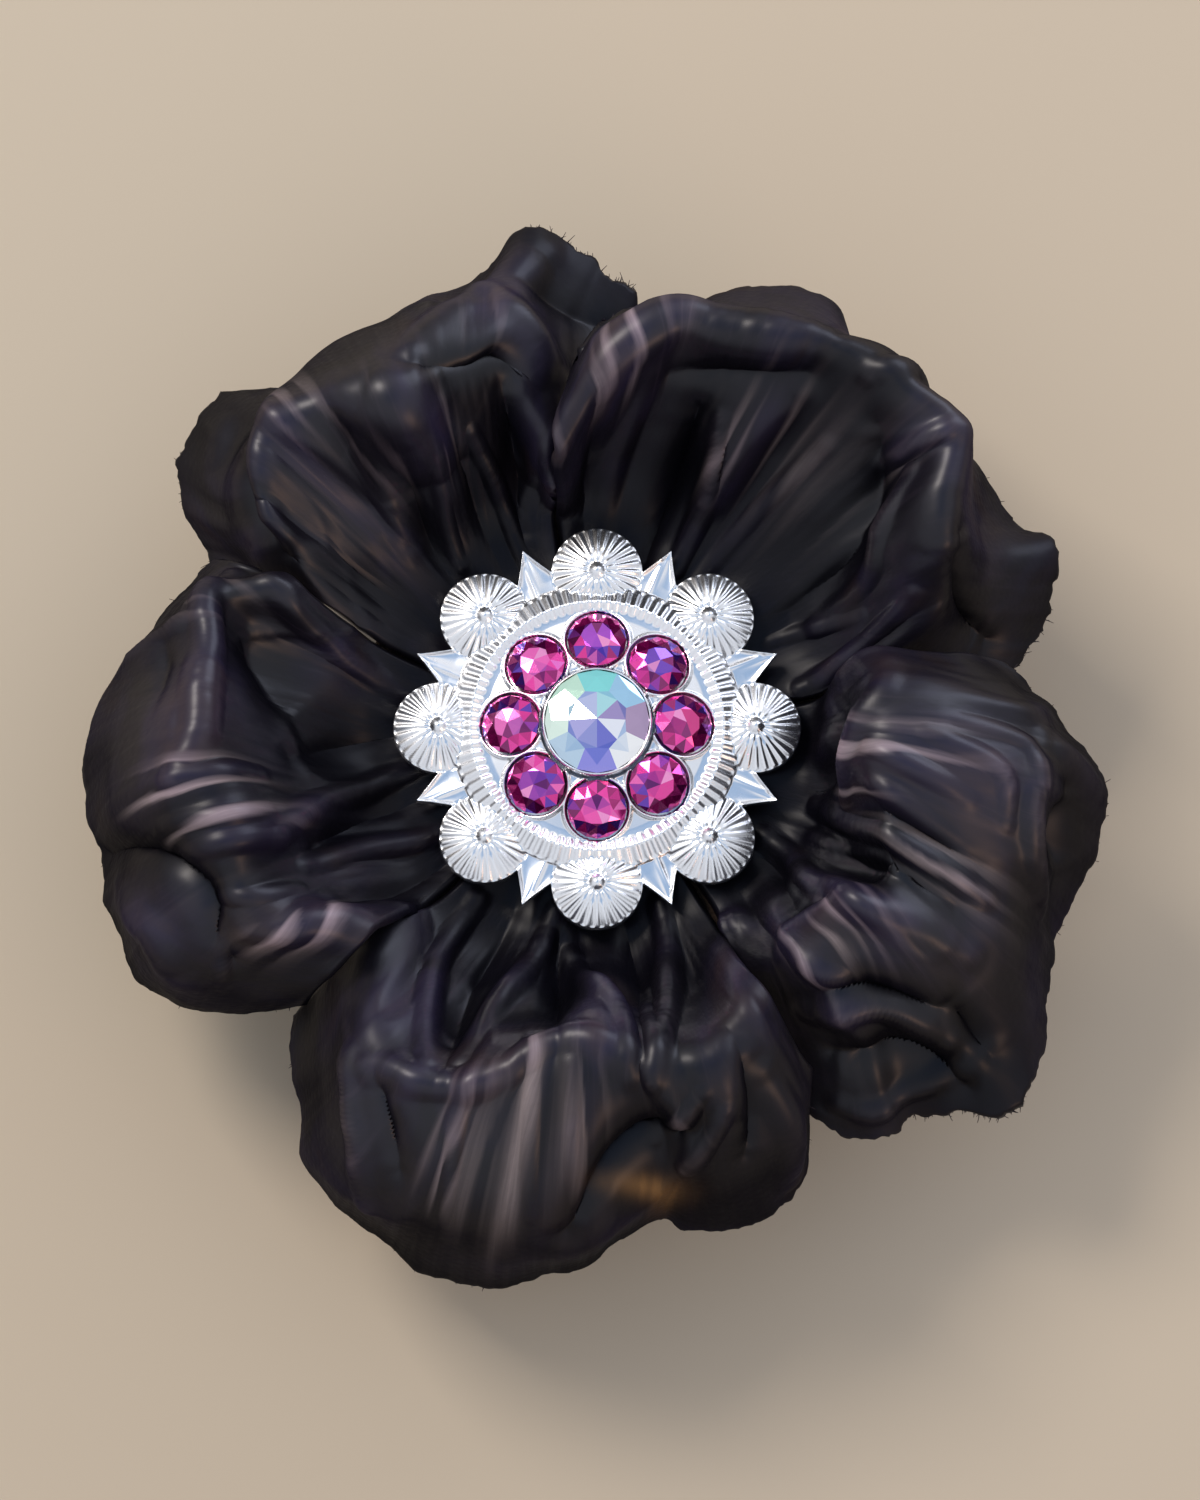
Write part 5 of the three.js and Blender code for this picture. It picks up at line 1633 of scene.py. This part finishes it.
wool_felt = fibrous("pressed_black_wool_felt", "#0f0e12", "#2b292f", 0.6, 0.8, 0.95, Sheen_Weight=0.4)
flesh_side = fibrous("leather_flesh_side_brown", "#2a1d16", "#4d3a2c", 0.8, 0.5, 0.85)
strap_leather = fibrous("oiled_leather_strap_dark_brown", "#1b1412", "#33261f", 1.1, 0.3, 0.5, IOR=IOR_WAX)
print("materials:", wool_felt.name, flesh_side.name, strap_leather.name)


# %% The two discs
UNEVEN = 0.05  # mm
EDGE_WANDER = 0.006  # how far a cut edge strays from its circle, as a share of the radius
WIDEST = 1.002


def soft_disc(name, node, material, hole, seed):
    """A thick disc with rounded, slightly uneven edges, in the place of a CAD disc."""
    low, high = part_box(node)
    radius, bottom, top = high.x / MM, low.z / MM, high.z / MM
    round_off = 0.3 * (top - bottom)
    profile = [(r, top) for r in np.linspace(hole, radius - round_off, 30)]
    for turn in np.linspace(0.25, 0.75, 3) * np.pi:
        profile.append((radius - round_off * (1 - math.sin(turn)), top - round_off * (1 - math.cos(turn))))
    profile += [(r, bottom) for r in np.linspace(radius - round_off, hole, 30)]
    points, faces = ring_body(profile, 160)
    x, y = points[:, 0], points[:, 1]
    uneven = soft_noise(x / 1.7, y / 1.7, seed) + 0.6 * soft_noise(x / 0.7, y / 0.7, seed + 1)
    ragged = 1 + EDGE_WANDER * soft_noise(np.arctan2(y, x) * 14, np.hypot(x, y) / 40, seed + 2)
    points[:, 2] += UNEVEN * uneven
    points[:, :2] *= np.minimum(ragged, WIDEST)[:, None]
    piece = make_piece(name, points, facing_out(points, faces), material)
    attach(piece, "flower")
    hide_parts(node)
    return piece


felt_disc = soft_disc("felt_disc", "felt_backing", wool_felt, hole=0.4, seed=200)
soft_disc("leather_disc", "leather_base_disc", flesh_side, hole=2.4, seed=210)
print("felt disc:", round(felt_disc.dimensions.x / MM, 1), "mm across")

# %% [markdown]
# ## The strap over the clip
#
# A short leather strap is glued to the felt on both sides of the clip's upper arm and holds it down. It
# is a sheet bent along one line, so it is built like a petal: the line of its middle, drawn out to the
# strap's width, then closed into a sheet with rounded edges.

# %% Strap
STRAP = 1.0  # mm thick
strap_low, strap_high = (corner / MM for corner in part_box("clip_keeper_strap"))
arm_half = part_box("clip_fixed_arm")[1].y / MM
foot_z = strap_high.z - STRAP / 2
bridge_z = strap_low.z + STRAP / 2
# half of the strap's middle, as places across and heights: the glued foot, the bend, then the bridge
half_line = [(strap_high.y - 0.1, foot_z), (6.9, foot_z), (5.6, foot_z), (4.95, foot_z - 0.25)]
half_line += [(arm_half + 0.75, (foot_z + bridge_z) / 2), (arm_half + 0.2, bridge_z)]
half_line += [(arm_half / 2, bridge_z)]
strap_line = half_line + [(0, bridge_z)] + [(-y, z) for y, z in half_line[::-1]]
bend = curve_through(np.array(strap_line), np.linspace(0, 1, 90))
strap_x = np.linspace(strap_low.x + 0.2, strap_high.x - 0.2, 24)
strap_middle = np.zeros((len(bend), len(strap_x), 3))
strap_middle[..., 0] = strap_x
strap_middle[..., 1:] = bend[:, None, :]
strap_middle[..., 2] += 0.04 * soft_noise(strap_middle[..., 0] / 1.5, strap_middle[..., 1] / 1.5, 220)
strap_points, strap_faces = close_sheet(strap_middle, STRAP)
strap = make_piece("leather_strap", strap_points, facing_out(strap_points, strap_faces), strap_leather)
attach(strap, "flower")
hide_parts("clip_keeper_strap")
print("strap:", round(strap_high.x - strap_low.x, 1), "mm wide")

# %% [markdown]
# ## Clip and screw
#
# The alligator clip is stamped from thin steel and barrel-plated with nickel, so its faces are smooth, a
# little yellower than silver, and scratched by tumbling. The CAD shapes are right as they are. Only
# their edges are too sharp: a stamped edge is rounded by a tenth of a millimetre, and a Bevel modifier
# adds that without touching the mesh.

# %% Material: nickel plate
SCRATCHES_ALONG = 90  # waves to a metre: each scratch is about 11 mm long
SCRATCHES_ACROSS = 900  # ten times as close across

nickel_plate, nickel_shader = principled("barrel_nickel_plate_on_stamped_steel", Metallic=1.0)
nickel_place = add_node(nickel_plate, "ShaderNodeTexCoord")
scratch_place = add_node(
    nickel_plate,
    "ShaderNodeMapping",
    {
        "Vector": nickel_place.outputs["Object"],
        "Rotation": (0, 0, 0.2),
        "Scale": (SCRATCHES_ALONG, SCRATCHES_ACROSS, SCRATCHES_ACROSS),
    },
)
scratches = add_node(
    nickel_plate,
    "ShaderNodeTexNoise",
    {"Vector": scratch_place.outputs["Vector"], "Scale": 2.0, "Detail": 5.0},
)
nickel_tone = add_node(
    nickel_plate,
    "ShaderNodeValToRGB",
    {"Fac": scratches.outputs["Fac"]},
    stops=[(0.3, colour("#b9b4aa")), (0.7, colour("#d6d2ca"))],
)
nickel_blur = add_node(
    nickel_plate,
    "ShaderNodeMapRange",
    {"Value": scratches.outputs["Fac"], "From Min": 0.3, "From Max": 0.7, "To Min": 0.2, "To Max": 0.36},
)
connect(nickel_plate, nickel_tone.outputs["Color"], nickel_shader.inputs["Base Color"])
connect(nickel_plate, nickel_blur.outputs["Result"], nickel_shader.inputs["Roughness"])
print("material:", nickel_plate.name)

# %% Finish the steel pieces
STAMPED_EDGE = 0.09  # mm
SHARP = math.radians(35)  # edges that turn less than this are part of a curve and stay

for name in ("clip_fixed_arm", "clip_moving_jaw", "clip_hinge_pin", "concho_screw"):
    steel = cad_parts[name]
    steel.material_slots[0].material = nickel_plate
    rounded = steel.modifiers.new("stamped_edge", "BEVEL")
    rounded.width = STAMPED_EDGE * MM
    rounded.segments = 2
    rounded.limit_method = "ANGLE"
    rounded.angle_limit = SHARP
    print(name, "has its stamped edges")

# %% [markdown]
# ## Spring
#
# Spring wire is drawn through a die, then wound cold and left oily. It is greyer than the plated steel.
#
# The spring is drawn new, because a coil with six sides looks cut from bar. It joins the arm and the
# jaw.

# %% Material: spring wire
WIRE_STAINS = 0.5  # mm

drawn_wire, wire_shader = principled("drawn_spring_wire_oiled", Metallic=1.0, Roughness=0.32)
wire_place = add_node(drawn_wire, "ShaderNodeTexCoord")
wire_lines = add_node(
    drawn_wire,
    "ShaderNodeTexNoise",
    {"Vector": wire_place.outputs["Object"], "Scale": 1 / (WIRE_STAINS * MM), "Detail": 3.0},
)
wire_tone = add_node(
    drawn_wire,
    "ShaderNodeValToRGB",
    {"Fac": wire_lines.outputs["Fac"]},
    stops=[(0.3, colour("#74726f")), (0.7, colour("#9c9a96"))],
)
connect(drawn_wire, wire_tone.outputs["Color"], wire_shader.inputs["Base Color"])
print("material:", drawn_wire.name)

# %% Spring
WIRE = 0.7
COIL_RADIUS = 1.45  # round the hinge pin, to the middle of the wire
COIL_HALF = 1.55
SPRING_TURNS = 2.5
LEG = 8
LEG_LEVEL = 2.6  # how far the lower leg runs level before it follows the thumb lever
LEVER_SLOPE = 0.4154  # how much the thumb lever falls for each mm it runs back
hinge_low, hinge_high = (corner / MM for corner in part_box("clip_hinge_pin"))
pin_x, pin_z = (hinge_low.x + hinge_high.x) / 2, (hinge_low.z + hinge_high.z) / 2
coil_length = 2 * math.pi * SPRING_TURNS * COIL_RADIUS
coil_top = pin_z + COIL_RADIUS


def spring_point(run):
    """The middle of the wire after a run along it: upper leg, coil, lower leg."""
    if run < LEG:
        back = LEG - run
        under_arm = (-WIRE / 2 - 0.05 - coil_top) * back / LEG
        return (pin_x - back, COIL_HALF, coil_top + under_arm)
    turn = (run - LEG) / COIL_RADIUS
    if run < LEG + coil_length:
        side = COIL_HALF * (1 - 2 * (run - LEG) / coil_length)
        return (pin_x + COIL_RADIUS * math.sin(turn), side, pin_z + COIL_RADIUS * math.cos(turn))
    back = run - LEG - coil_length
    return (pin_x - back, -COIL_HALF, pin_z - COIL_RADIUS - max(0, back - LEG_LEVEL) * LEVER_SLOPE)


spring_path = [spring_point(run) for run in np.linspace(0, 2 * LEG + coil_length, 260)]
spring_points, spring_faces = tube(spring_path, WIRE / 2)
spring = make_piece("spring_coil", spring_points, facing_out(spring_points, spring_faces), drawn_wire)
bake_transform(spring)
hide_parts("clip_spring")
print("spring wire:", round(2 * LEG + coil_length), "mm")
